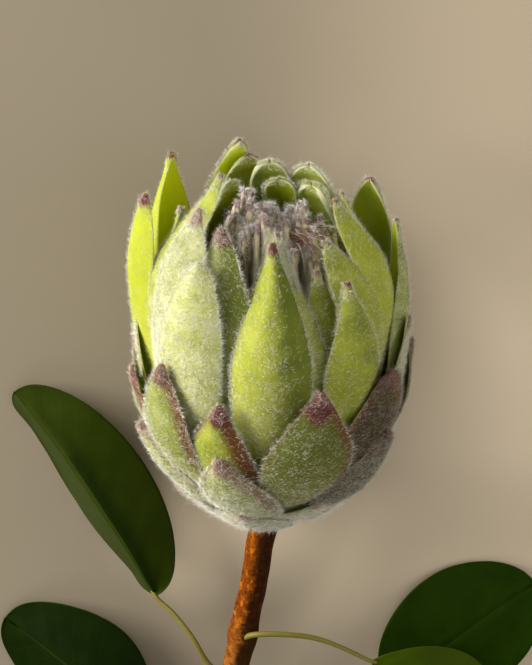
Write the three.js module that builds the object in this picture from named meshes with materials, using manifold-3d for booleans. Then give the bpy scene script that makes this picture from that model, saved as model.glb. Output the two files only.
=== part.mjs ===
// One protea bud, picked with its stem and four leaves and laid on its side, in millimetres with +Z up.
// The origin is the flat spot of the bud's belly on the surface. The bud's tip points to +Y and a little up,
// the face that is seen from above is the bud's front, and the stem runs back to -Y until its cut end touches down.
import * as THREE from "three";
import { mergeVertices } from "three/addons/utils/BufferGeometryUtils.js";
import Module from "manifold-3d";

const wasm = await Module();
wasm.setup();

// The bract cup: half an ellipse below its widest level, and half of a longer one above it.
const CUP_RADIUS = 45.4;
const BELLY_HEIGHT = 61;
const SHOULDER_AXIS = 110;
const CUP_FULLNESS = 1.08;
const LOWER_ARC = ((CUP_RADIUS + BELLY_HEIGHT) / 2) * (Math.PI / 2);

const BRACT_THICKNESS = 0.75;
const BRACT_TIP_WIDTH = 1.4;
const BRACT_LAYER = 3;
const BRACT_ROOT_RUN = 9;
const BRACT_ROOT_CLIMB = 0.36;
const BRACT_ROOT_SINK = 3;

// The woody receptacle inside the cup, as (distance from the axis, height), that bracts and florets grow from.
const RECEPTACLE = [
  [0, 1],
  [6, 1],
  [11, 3],
  [18, 8],
  [23, 15],
  [27.5, 24],
  [27, 32],
  [20, 38],
  [0, 40],
];

const FLORET_COUNT = 90;
const FLORET_BED_RADIUS = 24;
const FLORET_HEAD_RADIUS = 1.7;
const FLORET_NECK_RADIUS = 1;
const FLORET_CROWN_HEIGHT = 107;
const FLORET_CROWN_DROP = 10;
const FLORET_CORE = [
  [0, 40.4],
  [16, 40.4],
  [19, 52],
  [16, 70],
  [8, 82],
  [0, 86],
];

const STEM_RADIUS = 4.6;
const LEAF_THICKNESS = 0.9;
const PETIOLE_RADIUS = 1.1;
const GAP = 0.3;

// How the bud lies: its axis rises by LIE_ANGLE towards the tip, and its belly is pressed flat by BELLY_PRESS.
const LIE_ANGLE = 12;
const BELLY_PRESS = 1.5;

const DEGREE = Math.PI / 180;
const GOLDEN_ANGLE = 137.508 * DEGREE;
const smooth = (x) => THREE.MathUtils.smoothstep(x, 0, 1);
const mix = THREE.MathUtils.lerp;

// The rows of bracts from the stem up to the florets. Of each row: layers, how many rows lie over its roots;
// free, the height above which no other row covers it; and inset, how deep it lies under the cup's curve there.
// Of each bract: at, its azimuth in degrees, 0 at the front and positive to the right; tip, the height of its
// tip above the stem joint; width, its greatest width; and, where they aren't nought, under, how much deeper
// than its row it lies; reach, how far its tip stands from the axis; turn, how far its tip swings round; cup,
// where it isn't 1, how tightly it is rolled across; and steps, how finely the bract that is lain on is cut.
const ROWS = [
  {
    layers: 0,
    free: 1,
    inset: 0.2,
    bracts: [
      { at: -18, tip: 15, width: 25 },
      { at: 31, tip: 14, width: 25, under: 1.4 },
      { at: 84, tip: 16, width: 25 },
      { at: 135, tip: 15, width: 25, under: 1.4 },
      { at: 186, tip: 16, width: 25 },
      { at: 238, tip: 15, width: 25, under: 1.4 },
      { at: 288, tip: 17, width: 25 },
    ],
  },
  {
    layers: 1,
    free: 28,
    inset: 0,
    bracts: [
      { at: -19, tip: 37.5, width: 35, turn: -5 },
      { at: 57, tip: 43, width: 34 },
      { at: 106, tip: 40, width: 32 },
      { at: 155, tip: 42, width: 32 },
      { at: 205, tip: 40, width: 32 },
      { at: 248, tip: 43, width: 32, under: 1.4 },
      { at: 288, tip: 41, width: 32 },
    ],
  },
  {
    layers: 2,
    free: 44,
    inset: 0.2,
    bracts: [
      { at: -20, tip: 58, width: 26, under: 1.4, turn: -2 },
      { at: 22, tip: 63.5, width: 34, turn: -2 },
      { at: 62, tip: 63, width: 30, under: 1.4, turn: -4 },
      { at: 101, tip: 60, width: 30 },
      { at: 140, tip: 63, width: 30, under: 1.4 },
      { at: 180, tip: 61, width: 30, steps: 7 },
      { at: 218, tip: 64, width: 30, under: 1.4 },
      { at: 252, tip: 61, width: 30 },
      { at: 280, tip: 58, width: 28, under: 1.4 },
      { at: 308, tip: 68, width: 28 },
    ],
  },
  {
    layers: 3,
    free: 78,
    inset: 0.2,
    bracts: [
      { at: 80, tip: 75, width: 30 },
      { at: 120, tip: 79, width: 29, under: 1.4 },
      { at: 158, tip: 80, width: 29 },
      { at: 196, tip: 78, width: 29, under: 1.4 },
      { at: 236, tip: 81, width: 29 },
      { at: 276, tip: 79, width: 28, under: 1.4 },
    ],
  },
  {
    layers: 4,
    free: 88,
    inset: 0.6,
    bracts: [
      { at: 1, tip: 107.5, width: 31, reach: 28, cup: 0.62 },
      { at: 38, tip: 96.5, width: 28, reach: 35.5, turn: -2, cup: 0.7 },
      { at: 92, tip: 102, width: 26, reach: 38.5, turn: 3, cup: 0.72 },
      { at: 127, tip: 108.5, width: 27, under: 1.4, reach: 38, turn: -2, cup: 0.7 },
      { at: 165, tip: 98, width: 28, reach: 39, cup: 0.75 },
      { at: 202, tip: 97, width: 28, under: 1.4, reach: 39, cup: 0.75 },
      { at: 238, tip: 117.5, width: 27, reach: 37.6, turn: -3, cup: 0.7 },
      { at: 271, tip: 112.5, width: 23, under: 1.4, reach: 38.3, turn: 1, cup: 0.7 },
      { at: 328, tip: 102, width: 25, reach: 34.6, turn: -4, cup: 0.72 },
    ],
  },
  {
    layers: 4,
    free: 96,
    inset: 3.4,
    bracts: [
      { at: 14, tip: 105, width: 27, reach: 31, turn: -5, cup: 0.7 },
      { at: 44, tip: 106.5, width: 29, under: 1.4, reach: 32.3, turn: -14, cup: 0.75 },
      { at: 72, tip: 113.5, width: 29, under: 2.8, reach: 21.2, turn: -12, cup: 0.72 },
      { at: 112, tip: 109, width: 25, reach: 25, turn: 8, cup: 0.6 },
      { at: 153, tip: 113, width: 26, under: 1.4, reach: 26.4, cup: 0.7 },
      { at: 181, tip: 114.5, width: 28, reach: 25, turn: 1, cup: 0.7 },
      { at: 211, tip: 120.5, width: 26, under: 1.4, reach: 28.7, turn: -11, cup: 0.7 },
      { at: 248, tip: 104, width: 25, reach: 30, cup: 0.7 },
      { at: 291, tip: 119.5, width: 31, under: 1.4, reach: 14.6, turn: 2, cup: 0.75 },
      { at: 317, tip: 116.5, width: 30, reach: 31.2, turn: 1, cup: 0.75 },
      { at: 337, tip: 112, width: 23, under: 2.8, reach: 29.5, turn: -6, cup: 0.65 },
    ],
  },
  {
    layers: 4,
    free: 96,
    inset: 6.8,
    bracts: [
      { at: 5, tip: 110, width: 17, reach: 22, cup: 0.6 },
      { at: 31, tip: 99, width: 20, reach: 29, turn: -3, cup: 0.6 },
      { at: 98, tip: 106, width: 20, reach: 21, cup: 0.6 },
      { at: 138, tip: 109.3, width: 22, reach: 20, turn: 2, cup: 0.55 },
      { at: 169, tip: 111, width: 20, reach: 18, turn: 2, cup: 0.6 },
      { at: 195, tip: 115.5, width: 24, under: 1.4, reach: 28, cup: 0.65 },
      { at: 222, tip: 112, width: 22, reach: 17, turn: -7, cup: 0.6 },
    ],
  },
];

// Where the stem runs once it has left the bud, down to its cut end on the surface.
const STEM_ROUTE = [
  [-2.7, -58.8, 31],
  [-5.1, -74.5, 27.6],
  [-8.1, -90.6, 24.2],
  [-11.2, -106.8, 20.9],
  [-15.4, -128, 16.7],
  [-20.4, -153, 11.8],
  [-27.5, -190, 4.42],
];
const LEAF_NODES_Y = [-97, -117, -137, -153];

// Each leaf: petiole, its route out of the stem; rib, the blade's middle line from base to apex; width, the
// blade's greatest width; and folds, how far its left and right halves drop from flat, in degrees.
const LEAVES = {
  leaf_upper_left: {
    petiole: [
      [-13.5, -118, 18.7],
      [-21.9, -108.1, 20],
      [-26.5, -96.6, 21],
      [-33, -88.6, 20],
      [-39, -85.6, 18],
    ],
    rib: [
      [-39, -85.6, 18],
      [-48.1, -67.9, 20],
      [-56.3, -54.9, 19],
      [-69.7, -35.9, 14],
      [-86, -17.9, 5],
    ],
    width: 38,
    folds: [60, 14],
  },
  leaf_lower_left: {
    petiole: [
      [-20.5, -153, 12],
      [-28, -148, 14],
      [-35, -142, 14.8],
      [-41.5, -137.2, 14],
    ],
    rib: [
      [-41.5, -137.2, 14],
      [-52.3, -126.6, 15.5],
      [-63.8, -117.2, 14.5],
      [-76.4, -108.4, 10],
      [-89.3, -99.7, 3],
    ],
    width: 42,
    folds: [18, 12],
  },
  leaf_upper_right: {
    petiole: [
      [-9.4, -96.5, 23],
      [-5, -92.6, 30],
      [4.7, -93, 30.6],
      [16.4, -96.1, 28],
      [34.1, -106.5, 25],
    ],
    rib: [
      [34.1, -106.5, 25],
      [45.5, -112.2, 24.5],
      [57.6, -120.2, 21],
      [70.2, -130.8, 13.5],
      [81.7, -142.4, 4.5],
    ],
    width: 34,
    folds: [30, 24],
  },
  leaf_lower_right: {
    petiole: [
      [-17, -137, 15],
      [0, -133, 14],
      [20, -129.4, 8],
      [41.4, -124.4, 4],
    ],
    rib: [
      [41.4, -124.4, 4],
      [53.6, -114.3, 5.5],
      [65.9, -104.3, 5.8],
      [78.3, -95.4, 4.6],
      [91, -86.7, 1.8],
    ],
    width: 46,
    folds: [6, 8],
  },
};

const COLOURS = {
  bracts: { color: 0x94a13f, roughness: 0.75 },
  florets: { color: 0xb9ab97, roughness: 0.9 },
  stem: { color: 0x8a4a1d, roughness: 0.7 },
  leaf: { color: 0x2a4414, roughness: 0.45 },
};

const vectors = (points) => points.map((p) => new THREE.Vector3(...p));

// A closed geometry as a solid that can be joined and cut.
function solidOf(geometry) {
  const bare = geometry.clone();
  bare.deleteAttribute("normal");
  bare.deleteAttribute("uv");
  const merged = mergeVertices(bare, 1e-4);
  return new wasm.Manifold(
    new wasm.Mesh({
      numProp: 3,
      vertProperties: merged.attributes.position.array,
      triVerts: new Uint32Array(merged.index.array),
    }),
  );
}

function geometryOf(solid) {
  const mesh = solid.getMesh();
  return new THREE.BufferGeometry()
    .setAttribute("position", new THREE.BufferAttribute(mesh.vertProperties, 3))
    .setIndex(new THREE.BufferAttribute(mesh.triVerts, 1));
}

const joined = (solids) => solids.reduce((whole, solid) => whole.add(solid));

// The body itself, without loose scraps and sealed hollows.
function largest(solid) {
  return solid.decompose().sort((a, b) => b.volume() - a.volume())[0];
}

function lathe(profile, segments) {
  const points = profile.map(([radius, height]) => new THREE.Vector2(radius, height));
  return solidOf(new THREE.LatheGeometry(points, segments).rotateX(Math.PI / 2));
}

// A closed tube along a curve, with its radius a function of the share of the way along.
function tube(curve, radius, sides, steps) {
  const ring = Array.from({ length: sides }, (_, i) => {
    const angle = (i / sides) * 2 * Math.PI;
    return new THREE.Vector2(Math.cos(angle), Math.sin(angle));
  });
  const geometry = new THREE.ExtrudeGeometry(new THREE.Shape(ring), {
    steps,
    extrudePath: curve,
    bevelEnabled: false,
  });
  const centres = curve.getSpacedPoints(steps);
  const position = geometry.attributes.position;
  const point = new THREE.Vector3();
  for (let k = 0; k < position.count; k++) {
    point.fromBufferAttribute(position, k);
    const distances = centres.map((centre) => centre.distanceTo(point));
    const nearest = distances.indexOf(Math.min(...distances));
    point.sub(centres[nearest]).multiplyScalar(radius(nearest / steps)).add(centres[nearest]);
    position.setXYZ(k, point.x, point.y, point.z);
  }
  return solidOf(geometry);
}

// A point raised until it is a clearance above the plane that the flower lies on.
function raised(point, plane, clearance) {
  const low = clearance - plane.distanceToPoint(point);
  return low > 0 ? point.addScaledVector(plane.normal, low) : point;
}

// A closed blade of even thickness about surface(u, t), u from -1 to 1 across it and t from 0 to 1 along it,
// pressed flat where it would sink below the plane that it lies on.
function blade(surface, across, along, thickness, plane) {
  const step = 1e-3;
  const outer = [];
  const inner = [];
  for (let j = 0; j <= along; j++) {
    for (let i = 0; i <= across; i++) {
      const u = (2 * i) / across - 1;
      const t = j / along;
      const here = surface(u, t);
      const sideways = surface(u + step, t).sub(surface(u - step, t));
      const upwards = surface(u, Math.min(1, t + step)).sub(surface(u, Math.max(0, t - step)));
      const half = sideways.cross(upwards).normalize().multiplyScalar(thickness / 2);
      const faceUp = half.dot(plane.normal) > 0;
      outer.push(raised(here.clone().add(half), plane, faceUp ? thickness : 0));
      inner.push(raised(here.clone().sub(half), plane, faceUp ? 0 : thickness));
    }
  }
  const row = across + 1;
  const back = outer.length;
  const triangles = [];
  const quad = (a, b, c, d) => triangles.push(a, b, c, a, c, d);
  for (let j = 0; j < along; j++) {
    for (let i = 0; i < across; i++) {
      const k = j * row + i;
      quad(k, k + 1, k + row + 1, k + row);
      triangles.push(back + k, back + k + row + 1, back + k + 1);
      triangles.push(back + k, back + k + row, back + k + row + 1);
    }
    const left = j * row;
    const right = left + across;
    quad(left, left + row, back + left + row, back + left);
    quad(right + row, right, back + right, back + right + row);
  }
  for (let i = 0; i < across; i++) {
    const top = along * row + i;
    quad(i + 1, i, back + i, back + i + 1);
    quad(top, top + 1, back + top + 1, back + top);
  }
  return solidOf(new THREE.BufferGeometry().setFromPoints([...outer, ...inner]).setIndex(triangles));
}

// The cup's outer curve at a length run along it from the stem joint, with its outward normal.
function cupCurve(run) {
  const below = run < LOWER_ARC;
  const axis = below ? BELLY_HEIGHT : SHOULDER_AXIS;
  const angle = below
    ? ((run / LOWER_ARC) * Math.PI) / 2
    : Math.PI / 2 + (run - LOWER_ARC) / SHOULDER_AXIS;
  const sine = Math.sin(angle);
  const cosine = Math.cos(angle);
  return {
    radius: CUP_RADIUS * (below ? sine ** CUP_FULLNESS : sine),
    height: BELLY_HEIGHT - axis * cosine,
    normal: new THREE.Vector2(axis * sine, -CUP_RADIUS * cosine).normalize(),
    girth: (CUP_RADIUS / axis) * Math.hypot(axis * sine, CUP_RADIUS * cosine),
  };
}

function runAtHeight(height) {
  if (height < BELLY_HEIGHT) {
    return (Math.acos(1 - height / BELLY_HEIGHT) / (Math.PI / 2)) * LOWER_ARC;
  }
  const angle = Math.acos(-(height - BELLY_HEIGHT) / SHOULDER_AXIS);
  return LOWER_ARC + (angle - Math.PI / 2) * SHOULDER_AXIS;
}

// A bract's middle line as (distance from the axis, height). It starts in the receptacle, comes out between
// the rows below and ends near the cup's curve.
function bractMiddle(row, bract, t) {
  const root = BRACT_ROOT_RUN + BRACT_ROOT_CLIMB * (bract.tip - ROWS[0].bracts[0].tip);
  const curve = cupCurve(mix(root, runAtHeight(bract.tip), t));
  const covered = row.layers * BRACT_LAYER * Math.max(0, 1 - curve.height / row.free);
  const sink = BRACT_ROOT_SINK * Math.max(0, 1 - t / 0.2);
  const rest = row.inset + (bract.under ?? 0);
  const depth = rest + covered + sink;
  const tip = cupCurve(runAtHeight(bract.tip));
  const lean = bract.reach ? bract.reach - tip.radius + rest * tip.normal.x : 0;
  return {
    place: new THREE.Vector2(curve.radius + lean * smooth((t - 0.5) / 0.5) ** 1.2, curve.height).addScaledVector(
      curve.normal,
      -depth,
    ),
    girth: curve.girth,
  };
}

// Half the width of a bract along it: ovate, with a drawn-out tip.
function bractHalfWidth(bract, t) {
  const widest = 0.56;
  const outline =
    t < widest
      ? mix(0.28, 1, Math.sin(((t / widest) * Math.PI) / 2))
      : Math.cos((((t - widest) / (1 - widest)) * Math.PI) / 2) ** 0.82;
  return Math.max(BRACT_TIP_WIDTH / 2, (bract.width / 2) * outline);
}

function bractSurface(row, bract) {
  const step = 1e-3;
  return (u, t) => {
    const { place, girth } = bractMiddle(row, bract, t);
    const ahead = bractMiddle(row, bract, Math.min(1, t + step)).place;
    const behind = bractMiddle(row, bract, Math.max(0, t - step)).place;
    const along = ahead.sub(behind).normalize();
    const bend = girth * (bract.cup ?? 1) * (1 - 0.3 * t * t);
    const angle = (u * bractHalfWidth(bract, t)) / bend;
    const drop = bend * (1 - Math.cos(angle));
    const radius = place.x - drop * along.y;
    const height = place.y + drop * along.x;
    const azimuth = (bract.at + (bract.turn ?? 0) * t * t) * DEGREE;
    const side = bend * Math.sin(angle);
    return new THREE.Vector3(
      radius * Math.sin(azimuth) + side * Math.cos(azimuth),
      -radius * Math.cos(azimuth) + side * Math.sin(azimuth),
      height,
    );
  };
}

function bractSolid(row, bract, thickness, plane) {
  const across = bract.tip < 50 ? 3 : 4;
  const along = bract.steps ?? Math.round(mix(3, 5, smooth((bract.tip - 30) / 80)));
  return blade(bractSurface(row, bract), across, along, thickness, plane);
}

function bractSolids(thickness, plane) {
  return ROWS.flatMap((row) => row.bracts.map((bract) => bractSolid(row, bract, thickness, plane)));
}

// One floret: a slender tube that leans in over the core and ends in a swollen, pointed head.
function floretSolid(index) {
  const spread = Math.sqrt((index + 0.5) / FLORET_COUNT);
  const azimuth = index * GOLDEN_ANGLE;
  const foot = mix(FLORET_CORE.at(-1)[1] - 20, FLORET_CORE[0][1] + 8, spread);
  const top = FLORET_CROWN_HEIGHT - FLORET_CROWN_DROP * spread ** 2.4;
  const at = (share, height) => {
    const radius = FLORET_BED_RADIUS * share;
    return new THREE.Vector3(radius * Math.sin(azimuth), -radius * Math.cos(azimuth), height);
  };
  const curve = new THREE.QuadraticBezierCurve3(
    at(spread * 0.72, foot),
    at(spread * 1.12, mix(foot, top, 0.55)),
    at(spread * 0.84, top),
  );
  const radius = (share) => {
    if (share < 0.6) return FLORET_NECK_RADIUS;
    return share < 0.9 ? FLORET_HEAD_RADIUS : 0.5;
  };
  return tube(curve, radius, 3, 3);
}

// The blade of a leaf about its rib: elliptic, its two halves dropped from flat, its edge gently waved.
function leafSurface(leaf) {
  const rib = new THREE.CatmullRomCurve3(vectors(leaf.rib));
  return (u, t) => {
    const centre = rib.getPointAt(t);
    const along = rib.getTangentAt(t);
    const side = along.clone().cross(SURFACE.normal).normalize();
    const up = side.clone().cross(along).normalize();
    const half = Math.max(1.2, (leaf.width / 2) * Math.sin(Math.PI * t ** 0.86) ** 0.62);
    const share = smooth(Math.min(0.4 + 5 * t, 3 * (1.2 - t)));
    const fold = leaf.folds[u < 0 ? 0 : 1] * DEGREE * share;
    const wave = 0.035 * leaf.width * Math.sin(7 * t + (u < 0 ? 0 : 2)) * u * u;
    return centre
      .addScaledVector(side, u * half * Math.cos(fold))
      .addScaledVector(up, wave - Math.abs(u) * half * Math.sin(fold));
  };
}

function leafSolid(leaf, stem) {
  const petiole = new THREE.CatmullRomCurve3([...vectors(leaf.petiole), new THREE.Vector3(...leaf.rib[1])]);
  const stalk = tube(petiole, (share) => PETIOLE_RADIUS * (1.5 - 0.6 * share), 6, 10);
  return largest(stalk.add(blade(leafSurface(leaf), 6, 10, LEAF_THICKNESS, SURFACE)).subtract(stem));
}

// The stem from inside the bud to its cut end, with a low swelling at each leaf.
function stemSolid(joint, extra) {
  const curve = new THREE.CatmullRomCurve3([...joint, ...vectors(STEM_ROUTE)]);
  const steps = 26;
  const places = curve.getSpacedPoints(steps);
  const radius = (share) => {
    const { y } = places[Math.round(share * steps)];
    const swelling = LEAF_NODES_Y.reduce((sum, node) => sum + Math.exp(-(((y - node) / 4) ** 2)), 0);
    return STEM_RADIUS + 0.7 * swelling + extra;
  };
  return tube(curve, radius, 10, steps);
}

function meshOf(name, solid, finish) {
  const mesh = new THREE.Mesh(geometryOf(largest(solid)), new THREE.MeshStandardMaterial(finish));
  mesh.name = name;
  return mesh;
}

// The bud lies back by turning about X, and is lowered until the belly is pressed flat.
const SURFACE = new THREE.Plane(new THREE.Vector3(0, 0, 1), 0);
const head = new THREE.Group();
const lie = LIE_ANGLE * DEGREE;
const bellyReach = Math.hypot(CUP_RADIUS * Math.cos(lie), BELLY_HEIGHT * Math.sin(lie));
const bellyRadius = (CUP_RADIUS ** 2 * Math.cos(lie)) / bellyReach;
const bellyHeight = BELLY_HEIGHT - (BELLY_HEIGHT ** 2 * Math.sin(lie)) / bellyReach;
head.rotation.x = lie - Math.PI / 2;
head.position.set(
  0,
  -(bellyRadius * Math.sin(lie) + bellyHeight * Math.cos(lie)),
  bellyRadius * Math.cos(lie) - bellyHeight * Math.sin(lie) - BELLY_PRESS,
);
head.updateMatrixWorld();
const intoHead = head.matrixWorld.clone().invert();
const surfaceInHead = SURFACE.clone().applyMatrix4(intoHead);

const joint = [new THREE.Vector3(0, 0, 4), new THREE.Vector3()].map((p) => p.applyMatrix4(head.matrixWorld));
const stemWithGap = stemSolid(joint, GAP);
const stemWithGapInHead = solidOf(geometryOf(stemWithGap).applyMatrix4(intoHead));
const bracts = joined([lathe(RECEPTACLE, 14), ...bractSolids(BRACT_THICKNESS, surfaceInHead)]);
const florets = joined([
  lathe(FLORET_CORE, 12),
  ...Array.from({ length: FLORET_COUNT }, (_, index) => floretSolid(index)),
]);

head.add(meshOf("bracts", bracts.subtract(stemWithGapInHead), COLOURS.bracts));
const bractsWithGap = joined(bractSolids(BRACT_THICKNESS + 2 * GAP, surfaceInHead));
head.add(meshOf("florets", florets.subtract(bractsWithGap), COLOURS.florets));

const protea = new THREE.Group();
protea.name = "protea";
protea.add(head);
protea.add(meshOf("stem", stemSolid(joint, 0), COLOURS.stem));
for (const [name, leaf] of Object.entries(LEAVES)) {
  protea.add(meshOf(name, leafSolid(leaf, stemWithGap), COLOURS.leaf));
}

export default protea;
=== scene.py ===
"""A protea bud laid on its side: bracts, florets, fuzz, stem and leaves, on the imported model."""
import logging
import math
from collections.abc import Sequence
from dataclasses import dataclass, field
from enum import Enum
from typing import Any, Self

import bmesh
import bpy
import numpy as np
from mathutils import Matrix, Vector
from mathutils.bvhtree import BVHTree


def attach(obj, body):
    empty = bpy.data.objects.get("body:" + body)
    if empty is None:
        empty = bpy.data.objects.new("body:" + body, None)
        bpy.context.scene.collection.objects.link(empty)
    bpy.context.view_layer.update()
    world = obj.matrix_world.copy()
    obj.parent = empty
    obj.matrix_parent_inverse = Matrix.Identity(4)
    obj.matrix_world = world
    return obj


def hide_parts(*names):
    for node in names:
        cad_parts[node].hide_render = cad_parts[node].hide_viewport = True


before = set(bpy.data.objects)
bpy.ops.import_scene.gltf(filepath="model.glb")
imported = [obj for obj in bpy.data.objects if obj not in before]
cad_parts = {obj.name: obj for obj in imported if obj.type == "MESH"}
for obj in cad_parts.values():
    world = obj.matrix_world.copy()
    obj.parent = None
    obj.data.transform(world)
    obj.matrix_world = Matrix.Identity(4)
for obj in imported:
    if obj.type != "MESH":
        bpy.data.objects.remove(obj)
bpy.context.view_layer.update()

log = logging.getLogger("protea")

Array = np.ndarray
Colour = tuple[float, float, float]
Place = tuple[float, float, float]

MM = 0.001
MM_IN_CM = 10
GOLDEN_ANGLE = math.radians(137.508)
LEAST_HALF_WIDTH = 0.35
BRIGHTEST_HAIR = 0.95
UP = (0.0, 0.0, 1.0)


def smooth(share: Array | float) -> Array | float:
    """A share eased at both ends and held between 0 and 1."""
    share = np.clip(share, 0, 1)
    return share * share * (3 - 2 * share)


def mix(start: Any, end: Any, share: Any) -> Any:
    """A value part of the way between two others."""
    return start + (end - start) * share


def unit(vectors: Array) -> Array:
    """Vectors brought to a length of one."""
    return vectors / np.maximum(np.linalg.norm(vectors, axis=-1, keepdims=True), 1e-12)


def stacked(*columns: Any) -> Array:
    """Columns of numbers put side by side as points."""
    return np.stack(np.broadcast_arrays(*columns), axis=-1)


class Slot(Enum):
    """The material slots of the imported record."""

    BRACT = "bract"
    FLORET = "floret"
    STEM = "stem"
    LEAF = "leaf"


# ---------------------------------------------------------------- shader nodes


class Wire:
    """A socket of a material, on which Python arithmetic adds Math nodes."""

    def __init__(self, nodes: "Nodes", socket: bpy.types.NodeSocket) -> None:
        """Wrap one output socket of a node tree."""
        self.nodes = nodes
        self.socket = socket

    def _math(self, operation: str, *values: "Wire | float") -> "Wire":
        """Add a Math node on values, given in the order of its sockets."""
        names = ("Value", "Value_001", "Value_002")
        return self.nodes.wire("ShaderNodeMath", {"operation": operation}, dict(zip(names, values)))

    def __add__(self, other: "Wire | float") -> "Wire":
        """This plus other."""
        return self._math("ADD", self, other)

    def __radd__(self, other: float) -> "Wire":
        """A number plus this."""
        return self._math("ADD", other, self)

    def __sub__(self, other: "Wire | float") -> "Wire":
        """This minus other."""
        return self._math("SUBTRACT", self, other)

    def __rsub__(self, other: float) -> "Wire":
        """A number minus this."""
        return self._math("SUBTRACT", other, self)

    def __mul__(self, other: "Wire | float") -> "Wire":
        """This times other."""
        return self._math("MULTIPLY", self, other)

    def __rmul__(self, other: float) -> "Wire":
        """A number times this."""
        return self._math("MULTIPLY", other, self)

    def size(self) -> "Wire":
        """The value without its sign."""
        return self._math("ABSOLUTE", self)

    def most(self, other: "Wire | float") -> "Wire":
        """The greater of this and other."""
        return self._math("MAXIMUM", self, other)

    def between(self, low: float, high: float) -> "Wire":
        """A smooth step from 0 at low to 1 at high, either way round.

        Args:
            low: Where the step is 0.
            high: Where the step is 1.

        Returns:
            The step.
        """
        settings = {"interpolation_type": "SMOOTHSTEP"}
        falling = low > high
        sockets = {"Value": self, "From Min": min(low, high), "From Max": max(low, high)}
        sockets |= {"To Min": float(falling), "To Max": float(not falling)}
        return self.nodes.wire("ShaderNodeMapRange", settings, sockets)


class Nodes:
    """The node tree of one material, with a Principled shader at its end."""

    def __init__(self, name: str) -> None:
        """Start an empty material of that name.

        Args:
            name: The material's name.
        """
        self.material = bpy.data.materials.new(name)
        self.material.use_nodes = True
        self.tree = self.material.node_tree
        self.tree.nodes.clear()

    def node(self, kind: str, settings: dict[str, Any], sockets: dict[str, Any]) -> bpy.types.Node:
        """Add one node.

        Args:
            kind: The node's type.
            settings: Its properties, set first.
            sockets: Values, or wires to link, by socket identifier.

        Returns:
            The new node.
        """
        node = self.tree.nodes.new(kind)
        for name, value in settings.items():
            setattr(node, name, value)
        for name, value in sockets.items():
            socket = next(s for s in node.inputs if s.identifier == name)
            if isinstance(value, Wire):
                self.tree.links.new(value.socket, socket)
            elif isinstance(value, tuple) and len(value) == 3 and socket.type == "RGBA":
                socket.default_value = (*value, 1.0)
            else:
                socket.default_value = value
        return node

    def wire(self, kind: str, settings: dict[str, Any], sockets: dict[str, Any], output: str = "") -> Wire:
        """Add one node and hand on one of its outputs, the first where none is named.

        Args:
            kind: The node's type.
            settings: Its properties.
            sockets: Its inputs, as for node.
            output: The identifier of the output, or nothing for the first.

        Returns:
            The output.
        """
        node = self.node(kind, settings, sockets)
        outputs = [s for s in node.outputs if s.enabled and output in ("", s.identifier)]
        return Wire(self, outputs[0])

    def colour(self, factor: Wire | float, first: Wire | Colour, second: Wire | Colour) -> Wire:
        """Mix two colours by a factor.

        Args:
            factor: The share of the second.
            first: The first colour.
            second: The second colour.

        Returns:
            The mixed colour.
        """
        settings = {"data_type": "RGBA", "blend_type": "MIX", "clamp_factor": True}
        sockets = {"Factor_Float": factor, "A_Color": first, "B_Color": second}
        return self.wire("ShaderNodeMix", settings, sockets, "Result_Color")

    def noise(self, place: Wire, scale: float, detail: float = 3.0, roughness: float = 0.55) -> Wire:
        """Fractal noise about 0.5 at places along a vector wire."""
        sockets = {"Vector": place, "Scale": scale, "Detail": detail, "Roughness": roughness}
        return self.wire("ShaderNodeTexNoise", {}, sockets, "Fac")

    def stretched(self, place: Wire, scale: Place) -> Wire:
        """Places stretched along the axes, for a grain or a streak."""
        return self.wire("ShaderNodeMapping", {}, {"Vector": place, "Scale": scale})

    def axis(self, place: Wire, name: str) -> Wire:
        """The X, Y or Z of a vector."""
        return self.wire("ShaderNodeSeparateXYZ", {}, {"Vector": place}, name)

    def uv(self) -> Wire:
        """The piece's own UV map, in centimetres over the surface."""
        return self.wire("ShaderNodeUVMap", {"uv_map": "grain"}, {})

    def place(self) -> Wire:
        """Object coordinates."""
        return self.wire("ShaderNodeTexCoord", {}, {}, "Object")

    def attribute(self, name: str) -> tuple[Wire, Wire, Wire, Wire]:
        """The four numbers of a colour attribute.

        Args:
            name: The attribute's name.

        Returns:
            Its red, green, blue and alpha numbers.
        """
        node = self.node("ShaderNodeAttribute", {"attribute_name": name}, {})
        colour = Wire(self, node.outputs["Color"])
        parts = self.node("ShaderNodeSeparateColor", {}, {"Color": colour})
        return (*(Wire(self, s) for s in parts.outputs), Wire(self, node.outputs["Alpha"]))

    def tint(self, name: str) -> Wire:
        """A colour attribute as a colour."""
        return self.wire("ShaderNodeAttribute", {"attribute_name": name}, {}, "Color")

    def bump(self, height: Wire, strength: float, depth: float, under: Wire | None = None) -> Wire:
        """A bump of a depth in metres, over an earlier one where it is given.

        Args:
            height: The height of the relief.
            strength: How strong it is.
            depth: How deep it is, in metres.
            under: An earlier bump, where there is one.

        Returns:
            The bent normal.
        """
        sockets = {"Height": height, "Strength": strength, "Distance": depth}
        if under is not None:
            sockets["Normal"] = under
        return self.wire("ShaderNodeBump", {}, sockets)

    def finish(self, sockets: dict[str, Any]) -> bpy.types.Material:
        """End the tree in a Principled shader with these sockets.

        Args:
            sockets: The shader's inputs.

        Returns:
            The material.
        """
        shader = self.wire("ShaderNodeBsdfPrincipled", {}, sockets)
        self.node("ShaderNodeOutputMaterial", {}, {"Surface": shader})
        return self.material


# ---------------------------------------------------------------- finishes


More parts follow.
